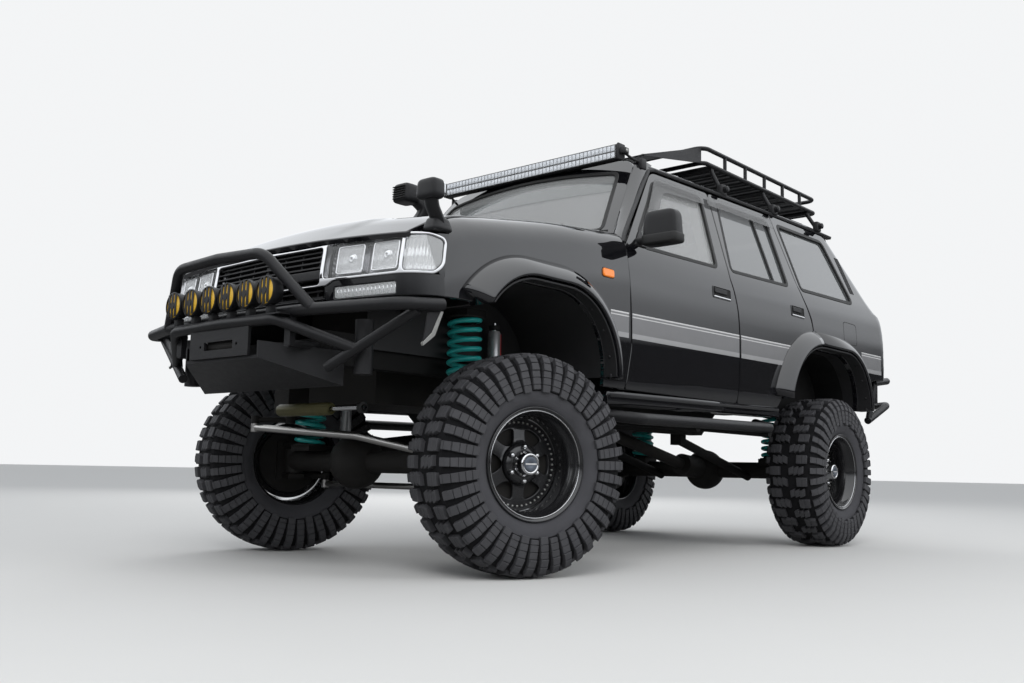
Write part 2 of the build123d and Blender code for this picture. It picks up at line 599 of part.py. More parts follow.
def tyre_shape(side):
    """Tyre casing with rounded shoulders; its bore sits on the rim."""
    x0, x1 = TYRE_X - SECTION_W / 2, TYRE_X + SECTION_W / 2
    t0, t1 = TYRE_X - TREAD_W / 2, TYRE_X + TREAD_W / 2
    outline = [(RIM_X0 + 14, RIM_LIP_R), (RIM_X0 + 6, RIM_LIP_R + 22), (x0 + 4, 290), (x0, 345),
               (x0 + 6, 405), (t0, TYRE_R), (t1, TYRE_R), (x1 - 6, 405), (x1, 345), (x1 - 4, 290),
               (RIM_X1 - 6, RIM_LIP_R + 22), (RIM_X1 - 14, RIM_LIP_R), (RIM_X1 - 30, RIM_BARREL_R + 8),
               (RIM_X0 + 30, RIM_BARREL_R + 8)]
    shape = Pos(0, 0, HUB_Z) * revolve(Plane.XY * Polygon(*outline, align=None), axis=Axis.X)
    return shape if side > 0 else mirrored(shape)


def wheels(out):
    for name, side in (("left", 1), ("right", -1)):
        wheel, tyre = wheel_shape(side), tyre_shape(side)
        out["front_wheel_" + name] = turned(wheel, side)
        out["front_tyre_" + name] = turned(tyre, side)
        out["rear_wheel_" + name] = Pos(0, WHEELBASE, 0) * wheel
        out["rear_tyre_" + name] = Pos(0, WHEELBASE, 0) * tyre
        out["knuckle_" + name] = knuckle(side)


def steering(out):
    """Tie rod, drag link, pitman arm and steering wheel."""
    ends = [(*arm_tip(side, False), TIE_Z) for side in (-1, 1)]
    bar = [(x, y, z - 39) for x, y, z in ends]
    shape = rod(bar[0], bar[1], 15)
    for x, y, z in ends:
        shape += rod((x, y, z - 58), (x, y, z - 20), 20)
    x, y, z = ends[1]
    shape += rod((x, y, z - 50), (x, y, z + 18), 9)
    out["tie_rod"] = shape
    left = (*arm_tip(1, True), LINK_Z)
    vector = (left[0] - KING_X, left[1])
    right = (PITMAN[0] + vector[0], PITMAN[1] + vector[1], PITMAN[2])
    start = (left[0], left[1], LINK_Z + 38)
    knee = (150, -330, 560)
    bend = (start[0] - 90, start[1] - 20, start[2] + 6)
    shape = tube([start, bend, knee, (right[0], right[1], right[2] - 38)], 17, 40)
    shape += rod((left[0], left[1], LINK_Z - 18), (left[0], left[1], LINK_Z + 56), 9)
    shape += rod((left[0], left[1], LINK_Z + 20), (left[0], left[1], LINK_Z + 58), 20)
    shape += rod((right[0], right[1], right[2] - 56), (right[0], right[1], right[2] + 14), 9)
    shape += rod((right[0], right[1], right[2] - 58), (right[0], right[1], right[2] - 20), 20)
    out["drag_link"] = shape
    arm = rod((PITMAN[0], PITMAN[1], PITMAN[2] - 17), (PITMAN[0], PITMAN[1], PITMAN[2] + 17), 24)
    arm += rod((right[0], right[1], right[2] - 17), (right[0], right[1], right[2] + 17), 20)
    arm += rod(PITMAN, right, 13)
    arm -= rod((right[0], right[1], right[2] - 40), (right[0], right[1], right[2] + 40), 9 + BORE_PLAY)
    arm += rod((PITMAN[0], PITMAN[1], PITMAN[2]), (PITMAN[0], PITMAN[1], PITMAN[2] + 75), 15)
    out["pitman_arm"] = arm
    out["steering_wheel"] = COLUMN * (Torus(185, 14) + Cylinder(36, 40) + Box(350, 26, 14) +
                                      Pos(0, -90, 0) * Box(26, 180, 14) + Pos(0, 0, -60) * Cylinder(20, 100))


COLUMN = Pos(-370, 1080, 1440) * Rot(-62, 0, 0)


def steering_box():
    """Steering box on the right rail, with the bore for the pitman arm's shaft."""
    box = block(-450, -342, -330, -180, PITMAN[2] + 26, 830)
    hole = rod((PITMAN[0], PITMAN[1], PITMAN[2]), (PITMAN[0], PITMAN[1], PITMAN[2] + 120), 15 + BORE_PLAY)
    return box - hole


# Outside fittings

def front_bumper():
    """Tube bumper: main bar, hoop, lower bar, braces, lamp shelf, fairlead plate and skid plate."""
    shape = None
    for points, radius, bend in (MAIN_BAR, HOOP_BAR, LOWER_BAR):
        bar = span(points, radius, bend)
        shape = bar if shape is None else shape + bar
    shape += both(rod((500, -786, 798), (868, -672, 1003), BRACE_R))
    shape += both(rod((RAIL_X, -885, 890), (RAIL_X, RAIL_Y0, 890), HORN_R))
    shape += both(block(RAIL_X - 18, RAIL_X + 18, -886, -860, 880, 1000))
    shape += block(-205, 205, FAIRLEAD_Y, FAIRLEAD_Y + PLATE_T, 850, 975)
    shape -= block(-100, 100, -1000, -900, 882, 916)
    for x in (-FAIRLEAD_X, FAIRLEAD_X):
        shape -= rod((x, -1000, 899), (x, -900, 899), FAIRLEAD_HOLE_R)
    return shape + skid_plate() + block(-400, 400, -942, -890, SHELF_Z - 6, SHELF_Z)


def skid_plate():
    """Sloping plate under the bumper, wider to the rear, with an upright plate along each side."""
    top = [(-926, 850), (-686, 749)]
    under = [(y, z - PLATE_T) for y, z in reversed(top)]
    outline = [(255, -926), (480, -686), (-480, -686), (-255, -926)]
    skid = side_prism(top + under, -500, 500) & plan_prism(outline, 600, 1000)
    edge = plan_prism([(255, -926), (480, -686), (471, -686), (246, -926)], 600, 1000)
    cheek = side_prism([(-926, 845), (-686, 744), (-686, 872), (-926, 905)], 200, 500) & edge
    return skid + both(cheek)


def reservoirs():
    """Round damper reservoirs that hang behind the bumper's braces."""
    shape = rod((590, -683, 776), (590, -683, 985), 36)
    return both(shape + rod((RAIL_X + RAIL_W / 2, -683, 880), (590, -683, 880), 14))


def driving_lamps():
    """Six round lamps in a row on the bumper's shelf."""
    lamps = None
    for x in LAMP_X:
        lamp = rod((x, -905, LAMP_Z), (x, -960, LAMP_Z), LAMP_R)
        lamp += rod((x, -925, SHELF_Z), (x, -925, SHELF_Z + 40), 9)
        lamps = both(lamp) if lamps is None else lamps + both(lamp)
    return lamps


def rear_bumper():
    """Tube bumper behind: a corner loop each side and the bars between them."""
    top = [(855, 3640, 1062), (855, 3900, 1095), (720, TAIL_Y - 40, 1095), (0, TAIL_Y - 24, 1095)]
    low = [(840, 3560, 800), (855, 3880, 925), (720, TAIL_Y - 50, 925), (0, TAIL_Y - 34, 925)]
    shape = span(top, 24, 80) + span(low, 24, 80)
    shape += both(rod((840, 3570, 800), (855, 3660, 1062), 20))
    for x in (380, 720):
        shape += both(rod((x, TAIL_Y - 44, 925), (x, TAIL_Y - 36, 1095), 20))
    return shape + both(block(350, 410, 3860, 4010, 900, 950))


def sliders():
    """Side bars below the sills, on arms from the frame."""
    bar = [(800, 500, 688), (960, 640, 668), (960, 1900, 680), (800, 2040, 712)]
    return both(tube(bar, 27, 60))


def roof_rack():
    """Basket rack: base rails, slats, posts, top rail and the sloping front fairing."""
    x, y0, y1, z0, z1 = RACK_X, RACK_Y0, RACK_Y1, RACK_Z0, RACK_Z1
    shape = tube([(0, y0, z1), (x, y0, z1), (x, y1, z1), (0, y1, z1)], 13, 60)
    shape += mirrored(shape)
    shape += tube([(0, y0, z0), (x, y0, z0), (x, y1, z0), (0, y1, z0)], 13, 40)
    shape += tube([(0, y0, z0), (-x, y0, z0), (-x, y1, z0), (0, y1, z0)], 13, 40)
    for y in RACK_POST_Y:
        shape += both(rod((x, y, z0), (x, y, z1), 11))
    for k in range(11):
        y = y0 + 110 + k * (y1 - y0 - 220) / 10
        shape += block(-x, x, y - 25, y + 25, z0 - 8, z0 + 4)
    for y in (1900, 2540, 3180):
        foot_z = GUTTER_Z + RISE * y + 10
        shape += block(-x, x, y - 14, y + 14, z0 - 30, z0 - 6)
        shape += both(rod((x - 14, y, z0 - 20), (GUTTER_X + 5, y, foot_z), 13))
    fairing = side_prism([(FAIRING_Y, 2110), (y0, z1 - 7), (y0, z1), (FAIRING_Y - 5, 2116)], -600, 600)
    cheek = side_prism([(FAIRING_Y, 2108), (y0, z1 - 5), (y0, z0)], 592, 600)
    return shape + fairing + both(cheek)


def light_bar():
    """Long lamp bar on a bracket at each drip rail."""
    bar = block(-628, 628, 928, 988, 2018, 2102)
    feet = both(rod((638, 958, 2060), (672, 1075, 2014), 10) + block(618, 648, 943, 973, 2040, 2085))
    return bar + feet


def snorkel():
    """Air intake on the right: along the fender, up the windscreen pillar to a ram head."""
    line = [(-954, 300, 1395), (-948, 440, 1470), (-892, 640, 1592), (-752, 950, 1985), (-800, 850, 2050)]
    pipe = tube(line, 34, 40)
    head = Pos(-818, 805, 2042) * Box(140, 130, 120)
    return pipe + fillet(head.edges(), 18)


# Cabin

def seats():
    """Two front seats and a rear bench, each with cushion, back and head rests on a base."""
    shape = None
    for x in (-370, 370):
        seat = block(x - 250, x + 250, 1150, 1660, 1060, 1190)
        seat += Pos(x, 1720, 1440) * Rot(-16, 0, 0) * Box(480, 120, 620)
        seat += Pos(x, 1800, 1800) * Rot(-16, 0, 0) * Box(250, 90, 170)
        seat += block(x - 190, x + 190, 1250, 1600, FLOOR_Z, 1062)
        shape = seat if shape is None else shape + seat
    bench = block(-560, 560, 2090, 2560, LOAD_Z + 30, LOAD_Z + 140)
    bench += block(-500, 500, 2150, 2500, LOAD_Z, LOAD_Z + 32)
    bench += Pos(0, 2620, 1470) * Rot(-18, 0, 0) * Box(1120, 120, 600)
    return shape + bench


def dashboard():
    """Dash across the cabin, as deep as it looks through the screen."""
    return side_prism([(720, 1200), (960, 1180), (1000, 1330), (940, 1470), (720, 1500)], -760, 760)


def trimmed(shape, *others):
    """The shape with what the other pieces fill cut away."""
    for other in others:
        shape -= other
    return shape


def build():
    out = {}
    cabin_panels(out)
    glass(out)
    front_panels(out)
    wheels(out)
    steering(out)
    out["drivetrain"] = drivetrain()
    out["front_axle"] = front_axle()
    out["rear_axle"] = rear_axle()
    out["springs"] = springs()
    out["dampers"] = dampers()
    out["suspension_links"] = trimmed(links(), out["front_axle"], out["rear_axle"])
    out["prop_shafts"] = prop_shafts()
    out["sliders"] = sliders()
    beside = (out["drivetrain"], out["sliders"], out["suspension_links"])
    out["frame"] = trimmed(frame_rails(), *beside)
    out["cross_members"] = trimmed(cross_members(), out["frame"], *beside)
    out["steering_box"] = trimmed(steering_box(), out["frame"])
    for name in ("left", "right"):
        out["fender_" + name] = trimmed(out["fender_" + name], out["frame"], out["cross_members"])
    out["front_bumper"] = front_bumper()
    out["driving_lamps"] = driving_lamps() - out["front_bumper"]
    out["reservoirs"] = reservoirs() - out["front_bumper"]
    out["rear_bumper"] = rear_bumper()
    carriers = (out["roof"], out["body_side_left"], out["body_side_right"])
    out["roof_rack"] = trimmed(roof_rack(), *carriers)
    out["light_bar"] = trimmed(light_bar(), *carriers)
    out["snorkel"] = snorkel()
    out["seats"] = seats()
    out["dashboard"] = dashboard()
    return out


os.makedirs("parts", exist_ok=True)
pieces = build()
for name, shape in pieces.items():
    export_step(SHIFT * shape, "parts/" + name + ".step")
low = min(piece.bounding_box().min.Y for piece in pieces.values())
high = max(piece.bounding_box().max.Y for piece in pieces.values())
print("pieces", len(pieces), "length from", round(low, 1), "to", round(high, 1))
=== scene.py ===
import json
import math

import bmesh
import bpy
import numpy as np
from mathutils import Matrix, Vector
from mathutils.geometry import delaunay_2d_cdt


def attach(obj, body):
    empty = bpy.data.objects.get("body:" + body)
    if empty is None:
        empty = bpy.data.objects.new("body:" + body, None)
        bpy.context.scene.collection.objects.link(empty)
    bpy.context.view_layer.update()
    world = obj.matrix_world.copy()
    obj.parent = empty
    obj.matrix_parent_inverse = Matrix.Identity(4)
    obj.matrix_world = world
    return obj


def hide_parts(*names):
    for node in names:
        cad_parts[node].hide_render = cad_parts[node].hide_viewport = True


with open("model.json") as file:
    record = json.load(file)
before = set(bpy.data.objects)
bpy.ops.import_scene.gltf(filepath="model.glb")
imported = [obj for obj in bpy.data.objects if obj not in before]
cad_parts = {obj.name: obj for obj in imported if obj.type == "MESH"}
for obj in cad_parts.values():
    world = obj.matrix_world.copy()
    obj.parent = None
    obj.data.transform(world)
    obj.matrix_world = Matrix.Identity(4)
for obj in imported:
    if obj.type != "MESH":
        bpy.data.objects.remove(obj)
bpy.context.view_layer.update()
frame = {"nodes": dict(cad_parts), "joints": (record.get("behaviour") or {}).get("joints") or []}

# Metres throughout. Shapes are drawn with y = 0 at the front axle and z = 0 on the ground, and
# Piece.done moves them along Y into the frame's own axes. +X is the car's left, the nose is at -Y.

joints = {j["name"]: j for j in frame["joints"]}
AXLE_Y = joints["steer_left"]["pos_m"][1]
HUB_Z = joints["steer_left"]["pos_m"][2]
KING_X = joints["steer_left"]["pos_m"][0]
SPIN = joints["front_wheel_left_spin"]["axis"]
STEER = math.atan2(SPIN[1], SPIN[0])
WHEELBASE = joints["rear_wheel_left_spin"]["pos_m"][1] - AXLE_Y
HANDS = ("left", "right")

# Body shape: levels are z at y = 0, and the upper body rises RISE for each metre to the rear
RISE = 0.026
SECTION = [(0.50, 0.855), (0.70, 0.870), (0.79, 0.905), (1.00, 0.916), (1.23, 0.916), (1.38, 0.906),
           (1.458, 0.890), (1.475, 0.884), (1.98, 0.672), (2.03, 0.651)]
HALF_WIDE = 0.917
PLAN = [(-0.675, 0.772), (-0.622, 0.840), (-0.546, 0.880), (-0.23, 0.905), (0.25, HALF_WIDE),
        (2.40, HALF_WIDE), (4.10, 0.883)]
# Front wing's shoulder: way along it from SHOULDER_DROP below the hood, inset, height under the hood
SHOULDER_DROP = 0.300
SHOULDER = [(-0.30, 0.0, -0.600), (0.0, 0.0, -SHOULDER_DROP), (0.1705, 0.013, -0.130),
            (0.2365, 0.056, -0.080), (0.3004, 0.116, -0.058), (0.42, 0.235, -0.040)]
SCREEN_SLOPE = 0.357 / 0.419
TAIL_SLOPE = -0.255 / 0.447
CROWN_Z, ROOF_X, ROOF_DROP = 2.075, 0.645, 0.070
GUTTER_Z = 1.98
STEP_Z = 1.535
NOSE_Y = -0.748
SCREEN_HALF = 0.772
GAP = 0.006

# Ways that a sheet of the body looks
LEFT, UP, AHEAD, ASTERN = (1, 0, 0), (0, 0, 1), (0, -1, 0), (0, 1, 0)
UP_LEFT = (1, 0, 0.3)
QUARTER = (1, 0.3, 0)
CORNER = (0.3, 1, 0)
SCREEN = (0, -1, 0.5)


# Numbers and outlines

def arr(*values):
    """The values as arrays of one shape."""
    return [np.asarray(v, float) for v in np.broadcast_arrays(*values)]


def soft(table, value, width, column=1):
    """The table's value with its corners rounded over +-width."""
    rows = np.array(table, float)
    offsets = np.linspace(-width, width, 9)
    return np.mean([np.interp(value + d, rows[:, 0], rows[:, column]) for d in offsets], axis=0)


def turned(loop, sign):
    """The closed outline made counter-clockwise for sign 1, clockwise for -1."""
    x, y = loop[:, 0], loop[:, 1]
    area = np.sum(x * np.roll(y, -1) - np.roll(x, -1) * y)
    return loop if area * sign > 0 else loop[::-1]


def rounded(points, radius, steps=4):
    """A closed outline with its corners rounded; a corner may carry its own radius as a third value."""
    out = []
    count = len(points)
    for i, corner in enumerate(points):
        p = np.array(corner[:2], float)
        reach = corner[2] if len(corner) > 2 else radius
        a = np.array(points[i - 1][:2], float) - p
        b = np.array(points[(i + 1) % count][:2], float) - p
        la, lb = np.linalg.norm(a), np.linalg.norm(b)
        cut = min(reach, 0.45 * la, 0.45 * lb)
        if cut < 1e-4:
            out.append(p)
            continue
        start, end = p + a / la * cut, p + b / lb * cut
        for t in np.linspace(0, 1, steps + 1):
            out.append((1 - t) ** 2 * start + 2 * t * (1 - t) * p + t * t * end)
    return np.array(out)


def spaced(loop, step):
    """The closed outline with extra points, so that none of its edges is longer than step."""
    out = []
    for p, q in zip(loop, np.roll(loop, -1, axis=0)):
        count = max(1, int(math.ceil(np.linalg.norm(q - p) / step)))
        out += [p + (q - p) * k / count for k in range(count)]
    keep = [p for p, q in zip(out, out[-1:] + out[:-1]) if np.linalg.norm(p - q) > 1e-5]
    return np.array(keep)


def edge_directions(loop):
    """At each point, the direction that leads out of the sheet."""
    along = np.roll(loop, -1, axis=0) - np.roll(loop, 1, axis=0)
    along /= np.linalg.norm(along, axis=1)[:, None] + 1e-12
    return np.stack([along[:, 1], -along[:, 0]], 1)


def inside(points, loop):
    """Which points lie inside a closed outline."""
    x, y = points[:, 0][:, None], points[:, 1][:, None]
    x0, y0 = loop[:, 0][None], loop[:, 1][None]
    x1, y1 = np.roll(loop[:, 0], -1)[None], np.roll(loop[:, 1], -1)[None]
    crosses = (y0 > y) != (y1 > y)
    at = x0 + (y - y0) * (x1 - x0) / np.where(y1 == y0, 1e-9, y1 - y0)
    return np.sum(crosses & (x < at), axis=1) % 2 == 1


# Geometry: each function returns (points, faces, normals or None)

def within(points, loops):
    """Which points lie inside the first closed outline and outside the others."""
    keep = inside(points, loops[0])
    for loop in loops[1:]:
        keep &= ~inside(points, loop)
    return keep


def filled(outer, loops, step, fine):
    """Points and triangles over the first loop, less the others; the loops' own points come first."""
    low, high = outer.min(0), outer.max(0)
    us = np.arange(low[0] + step[0] / 2, high[0], step[0])
    vs = np.arange(low[1] + step[1] / 2, high[1], step[1])
    grid = np.array([(u + (k % 2) * step[0] / 2, v) for k, v in enumerate(vs) for u in us]).reshape(-1, 2)
    keep = within(grid, loops)
    ring_points = np.concatenate(loops)
    lot_size = 500
    for lot in range(0, len(grid), lot_size):
        part = slice(lot, lot + lot_size)
        near = np.min(np.linalg.norm(grid[part, None] - ring_points[None], axis=2), axis=1)
        keep[part] &= near > fine * 0.6
    points = np.concatenate([ring_points, grid[keep]])
    edges, start = [], 0
    for loop in loops:
        count = len(loop)
        edges += [(start + k, start + (k + 1) % count) for k in range(count)]
        start += count
    found = delaunay_2d_cdt([Vector(p) for p in points], edges, [], 0, 1e-7)
    flat = np.array([tuple(p) for p in found[0]])
    tris = np.array(found[2])
    tris = tris[within(flat[tris].mean(axis=1), loops)]
    a, b, c = (flat[tris[:, k]] for k in range(3))
    area = (b[:, 0] - a[:, 0]) * (c[:, 1] - a[:, 1]) - (b[:, 1] - a[:, 1]) * (c[:, 0] - a[:, 0])
    return flat, np.where((area < 0)[:, None], tris[:, ::-1], tris)


def rolled(normal, away, depth, edge, roll):
    """The rows down a sheet's rounded edge and flange: how far each is moved, and its normals."""
    rows = []
    for k in range(1, roll + 1):
        angle = math.pi / 2 * k / roll
        shift = away * edge * math.sin(angle) - normal * edge * (1 - math.cos(angle))
        rows.append((shift, normal * math.cos(angle) + away * math.sin(angle)))
    return rows + [(away * edge - normal * depth, away)]


def strip(upper, lower, sign):
    """The faces between two closed rows of points."""
    faces = []
    for i in range(len(upper)):
        j = (i + 1) % len(upper)
        quad = (upper[i], lower[i], lower[j], upper[j])
        faces.append(quad if sign > 0 else quad[::-1])
    return faces


def panel(outline, surf, out, holes=(), depth=0.025, edge=0.004, step=(0.05, 0.05), roll=3):
    """A sheet cut to an outline on a curved surface, with rolled edges, flanges and an inner face."""
    fine = min(step) * 0.8
    rings = [turned(spaced(np.array(outline, float), fine), 1)]
    rings += [turned(spaced(np.array(h, float), fine), -1) for h in holes]
    sides = [edge_directions(r) for r in rings]
    inner = [r - s * edge for r, s in zip(rings, sides)]
    flat, tris = filled(rings[0], inner, step, fine)
    co, du, dv, normal, sign = frames(surf, flat, out)
    if sign < 0:
        tris = tris[:, ::-1]
    points, normals, faces = [co], [normal], [tuple(t) for t in tris]
    total, first = len(flat), 0
    back = co - normal * depth
    bottoms = []
    for ring, side in zip(inner, sides):
        count = len(ring)
        index = np.arange(first, first + count)
        n = normal[index]
        away = du[index] * side[:, :1] + dv[index] * side[:, 1:]
        away -= n * np.sum(away * n, axis=1)[:, None]
        away /= np.linalg.norm(away, axis=1)[:, None] + 1e-12
        previous = index
        for shift, way in rolled(n, away, depth, edge, roll):
            points.append(co[index] + shift)
            normals.append(way)
            current = np.arange(total, total + count)
            total += count
            faces += strip(previous, current, sign)
            previous = current
        back[index] = points[-1]
        bottoms.append(previous)
        first += count
    points.append(back)
    normals.append(-normal)
    faces += [tuple(t[::-1] + total) for t in tris]
    start = total
    for bottom in bottoms:
        faces += strip(bottom, np.arange(start, start + len(bottom)), sign)
        start += len(bottom)
    return np.concatenate(points), faces, np.concatenate(normals)


def frames(surf, flat, out):
    """Points, tangents and outward normals of a surface at each flat point."""
    h = 0.003
    u, v = flat[:, 0], flat[:, 1]
    co = surf(u, v)
    du = (surf(u + h, v) - surf(u - h, v)) / (2 * h)
    dv = (surf(u, v + h) - surf(u, v - h)) / (2 * h)
    normal = np.cross(du, dv)
    normal /= np.linalg.norm(normal, axis=1)[:, None] + 1e-12
    sign = 1 if np.mean(normal @ np.array(out, float)) > 0 else -1
    return co, du, dv, normal * sign, sign


def flip(geo):
    """The same shape on the car's other side."""
    points, faces, normals = geo
    mirror = np.array([-1.0, 1.0, 1.0])
    return points * mirror, [tuple(f[::-1]) for f in faces], None if normals is None else normals * mirror


def moved(geo, matrix):
    """The shape carried by a matrix, its faces kept looking outwards."""
    points, faces, normals = geo
    m = np.array(matrix)
    points = points @ m[:3, :3].T + m[:3, 3]
    if np.linalg.det(m[:3, :3]) < 0:
        faces = [tuple(f[::-1]) for f in faces]
    return points, faces, None if normals is None else normals @ m[:3, :3].T


def joined(geos):
    """Several shapes as one."""
    points, faces, normals, total = [], [], [], 0
    for p, f, n in geos:
        points.append(p)
        faces += [tuple(np.array(face) + total) for face in f]
        normals.append(np.zeros_like(p) if n is None else n)
        total += len(p)
    normals = np.concatenate(normals)
    return np.concatenate(points), faces, normals if np.abs(normals).max() > 0 else None


def outward(geo):
    """The shape with all its faces turned to look outwards."""
    points, faces, normals = geo
    mesh = bpy.data.meshes.new("work")
    mesh.from_pydata(points.tolist(), [], [tuple(map(int, f)) for f in faces])
    work = bmesh.new()
    work.from_mesh(mesh)
    bmesh.ops.recalc_face_normals(work, faces=work.faces)
    faces = [tuple(v.index for v in f.verts) for f in work.faces]
    work.free()
    bpy.data.meshes.remove(mesh)
    return points, faces, normals


def grid_faces(rows, columns, wrap_rows=False, wrap_columns=False):
    """Faces between points that lie in rows and columns, either of which may close."""
    faces = []
    for i in range(rows if wrap_rows else rows - 1):
        for j in range(columns if wrap_columns else columns - 1):
            a, b = i, (i + 1) % rows
            c, d = j, (j + 1) % columns
            faces.append((a * columns + c, a * columns + d, b * columns + d, b * columns + c))
    return faces


def loft(rows):
    """Closed outlines with as many points each, joined in turn, and a face across either end."""
    points = np.array(rows, float)
    count, sides = points.shape[:2]
    faces = grid_faces(count, sides, False, True)
    faces += [tuple(range(sides))[::-1], tuple(range((count - 1) * sides, count * sides))]
    return points.reshape(-1, 3), faces, None


def revolve(profile, segments=64):
    """A closed profile of (x, r) points turned about the X axis."""
    x, r = np.array(profile, float).T
    angle = np.linspace(0, 2 * math.pi, segments, endpoint=False)
    points = np.stack([np.tile(x, segments), np.outer(np.cos(angle), r).ravel(),
                       np.outer(np.sin(angle), r).ravel()], 1)
    return points, grid_faces(segments, len(x), True, True), None


def spline(points, count=8):
    """A smooth line through the points."""
    p = np.array(points, float)
    p = np.concatenate([[2 * p[0] - p[1]], p, [2 * p[-1] - p[-2]]])
    out = []
    for a, b, c, d in zip(p, p[1:], p[2:], p[3:]):
        for t in np.linspace(0, 1, count, endpoint=False):
            out.append(0.5 * (2 * b + (c - a) * t + (2 * a - 5 * b + 4 * c - d) * t * t
                              + (3 * b - a - 3 * c + d) * t ** 3))
    return np.array(out + [p[-2]])


def bends(points, radius, steps=6):
    """Straight runs joined by rounded bends."""
    p = [np.array(q, float) for q in points]
    out = [p[0]]
    for a, b, c in zip(p, p[1:], p[2:]):
        la, lc = np.linalg.norm(a - b), np.linalg.norm(c - b)
        cut = min(radius, 0.48 * la, 0.48 * lc)
        start, end = b + (a - b) / la * cut, b + (c - b) / lc * cut
        for t in np.linspace(0, 1, steps + 1):
            out.append((1 - t) ** 2 * start + 2 * t * (1 - t) * b + t * t * end)
    return np.array(out + [p[-1]])


def sweep(path, shape, closed=False):
    """A closed flat shape of (across, up) points carried along a line; up starts near +Z."""
    path = np.array(path, float)
    if closed:
        along = np.roll(path, -1, axis=0) - np.roll(path, 1, axis=0)
    else:
        along = np.gradient(path, axis=0)
    along /= np.linalg.norm(along, axis=1)[:, None]
    up = np.array([0, 0, 1.0]) if abs(along[0][2]) < 0.9 else np.array([0, 1.0, 0])
    rows = []
    shape = np.array(shape, float)
    for p, t in zip(path, along):
        up = up - t * np.dot(up, t)
        up /= np.linalg.norm(up)
        across = np.cross(t, up)
        rows.append(p + shape[:, :1] * across + shape[:, 1:] * up)
    if closed:
        return np.concatenate(rows), grid_faces(len(path), len(shape), True, True), None
    return loft(rows)


def ring(radius, sides=12):
    """A round outline."""
    angle = np.linspace(0, 2 * math.pi, sides, endpoint=False)
    return np.stack([np.cos(angle), np.sin(angle)], 1) * radius


def pipe(points, radius, bend=0.05, sides=14, closed=False):
    """A round tube along straight runs with rounded bends."""
    return sweep(bends(points, bend) if len(points) > 2 else np.array(points), ring(radius, sides), closed)


def bar(start, end, radius, sides=20, chamfer=0.0):
    """Round bar with chamfered ends."""
    a, b = np.array(start, float), np.array(end, float)
    way = (b - a) / np.linalg.norm(b - a)
    if chamfer <= 0:
        return sweep([a, b], ring(radius, sides))
    path = [a, a + way * chamfer, b - way * chamfer, b]
    points, faces, normals = sweep(path, ring(radius, sides))
    points = points.reshape(4, sides, 3)
    for k, centre in ((0, a), (3, b)):
        points[k] = centre + (points[k] - centre) * (1 - chamfer / radius)
    return points.reshape(-1, 3), faces, normals


def chunk(size, bevel=0.004, taper=(1.0, 1.0)):
    """Box about the origin with bevelled edges; taper scales its top in x and y."""
    hx, hy, hz = np.array(size, float) / 2
    b = min(bevel, hx * 0.9, hy * 0.9, hz * 0.9)
    levels = [(-hz, b), (-hz + b * 0.3, b * 0.3), (-hz + b, 0), (hz - b, 0), (hz - b * 0.3, b * 0.3),
              (hz, b)]
    rows = []
    for z, cut in levels:
        share = (z + hz) / (2 * hz)
        x = (hx - cut) * (1 + (taper[0] - 1) * share)
        y = (hy - cut) * (1 + (taper[1] - 1) * share)
        c = min(b, x * 0.9, y * 0.9)
        k = c * 0.3
        corner = [(x, y - c), (x - k, y - k), (x - c, y)]
        loop = corner + [(-px, py) for px, py in reversed(corner)]
        loop += [(-px, -py) for px, py in corner] + [(px, -py) for px, py in reversed(corner)]
        rows.append([(px, py, z) for px, py in loop])
    return loft(rows)


def block(x0, x1, y0, y1, z0, z1, bevel=0.004):
    """A box between two corners, with bevelled edges."""
    shift = Matrix.Translation(((x0 + x1) / 2, (y0 + y1) / 2, (z0 + z1) / 2))
    return moved(chunk((x1 - x0, y1 - y0, z1 - z0), bevel), shift)


def at(x, y, z):
    return Matrix.Translation((x, y, z))


def turn(degrees, axis):
    return Matrix.Rotation(math.radians(degrees), 4, axis)


class Piece:
    """One object, gathered from shapes with a material each."""

    def __init__(self, name, body, slot):
        self.name, self.body, self.slot = name, body, slot
        self.geos, self.materials, self.counts = [], [], []

    def add(self, geo, material, both=False):
        geo = outward(geo) if geo[2] is None else geo
        for one in ([geo, flip(geo)] if both else [geo]):
            self.geos.append(one)
            self.counts.append((len(one[1]), material))
        return self

    def put(self, hand, *shapes):
        """Adds shapes with their materials, mirrored where the piece is the right-hand one."""
        for geo, material in shapes:
            self.add(flip(geo) if hand == "right" else geo, material)
        return self

    def done(self, *nodes, shift=AXLE_Y, crease=38):
        points, faces, normals = joined(self.geos)
        mesh = bpy.data.meshes.new(self.name)
        mesh.from_pydata((points + (0, shift, 0)).tolist(), [], [tuple(map(int, f)) for f in faces])
        used = []
        for _, material in self.counts:
            if material not in used:
                used.append(material)
        for material in used:
            mesh.materials.append(material)
        index = np.concatenate([np.full(n, used.index(m)) for n, m in self.counts])
        mesh.polygons.foreach_set("material_index", index.astype(np.int32))
        mesh.validate()
        mesh.shade_smooth()
        mesh.set_sharp_from_angle(angle=math.radians(crease))
        if normals is not None:
            mesh.normals_split_custom_set_from_vertices(normals.tolist())
        piece = bpy.data.objects.new(self.name, mesh)
        bpy.context.scene.collection.objects.link(piece)
        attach(piece, self.body)
        if nodes:
            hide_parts(*nodes)
        return piece


# Materials

def setting(node, **values):
    """The node with inputs set by their names, where an underscore stands for a space."""
    for name, value in values.items():
        node.inputs[name.replace("_", " ")].default_value = value
    return node


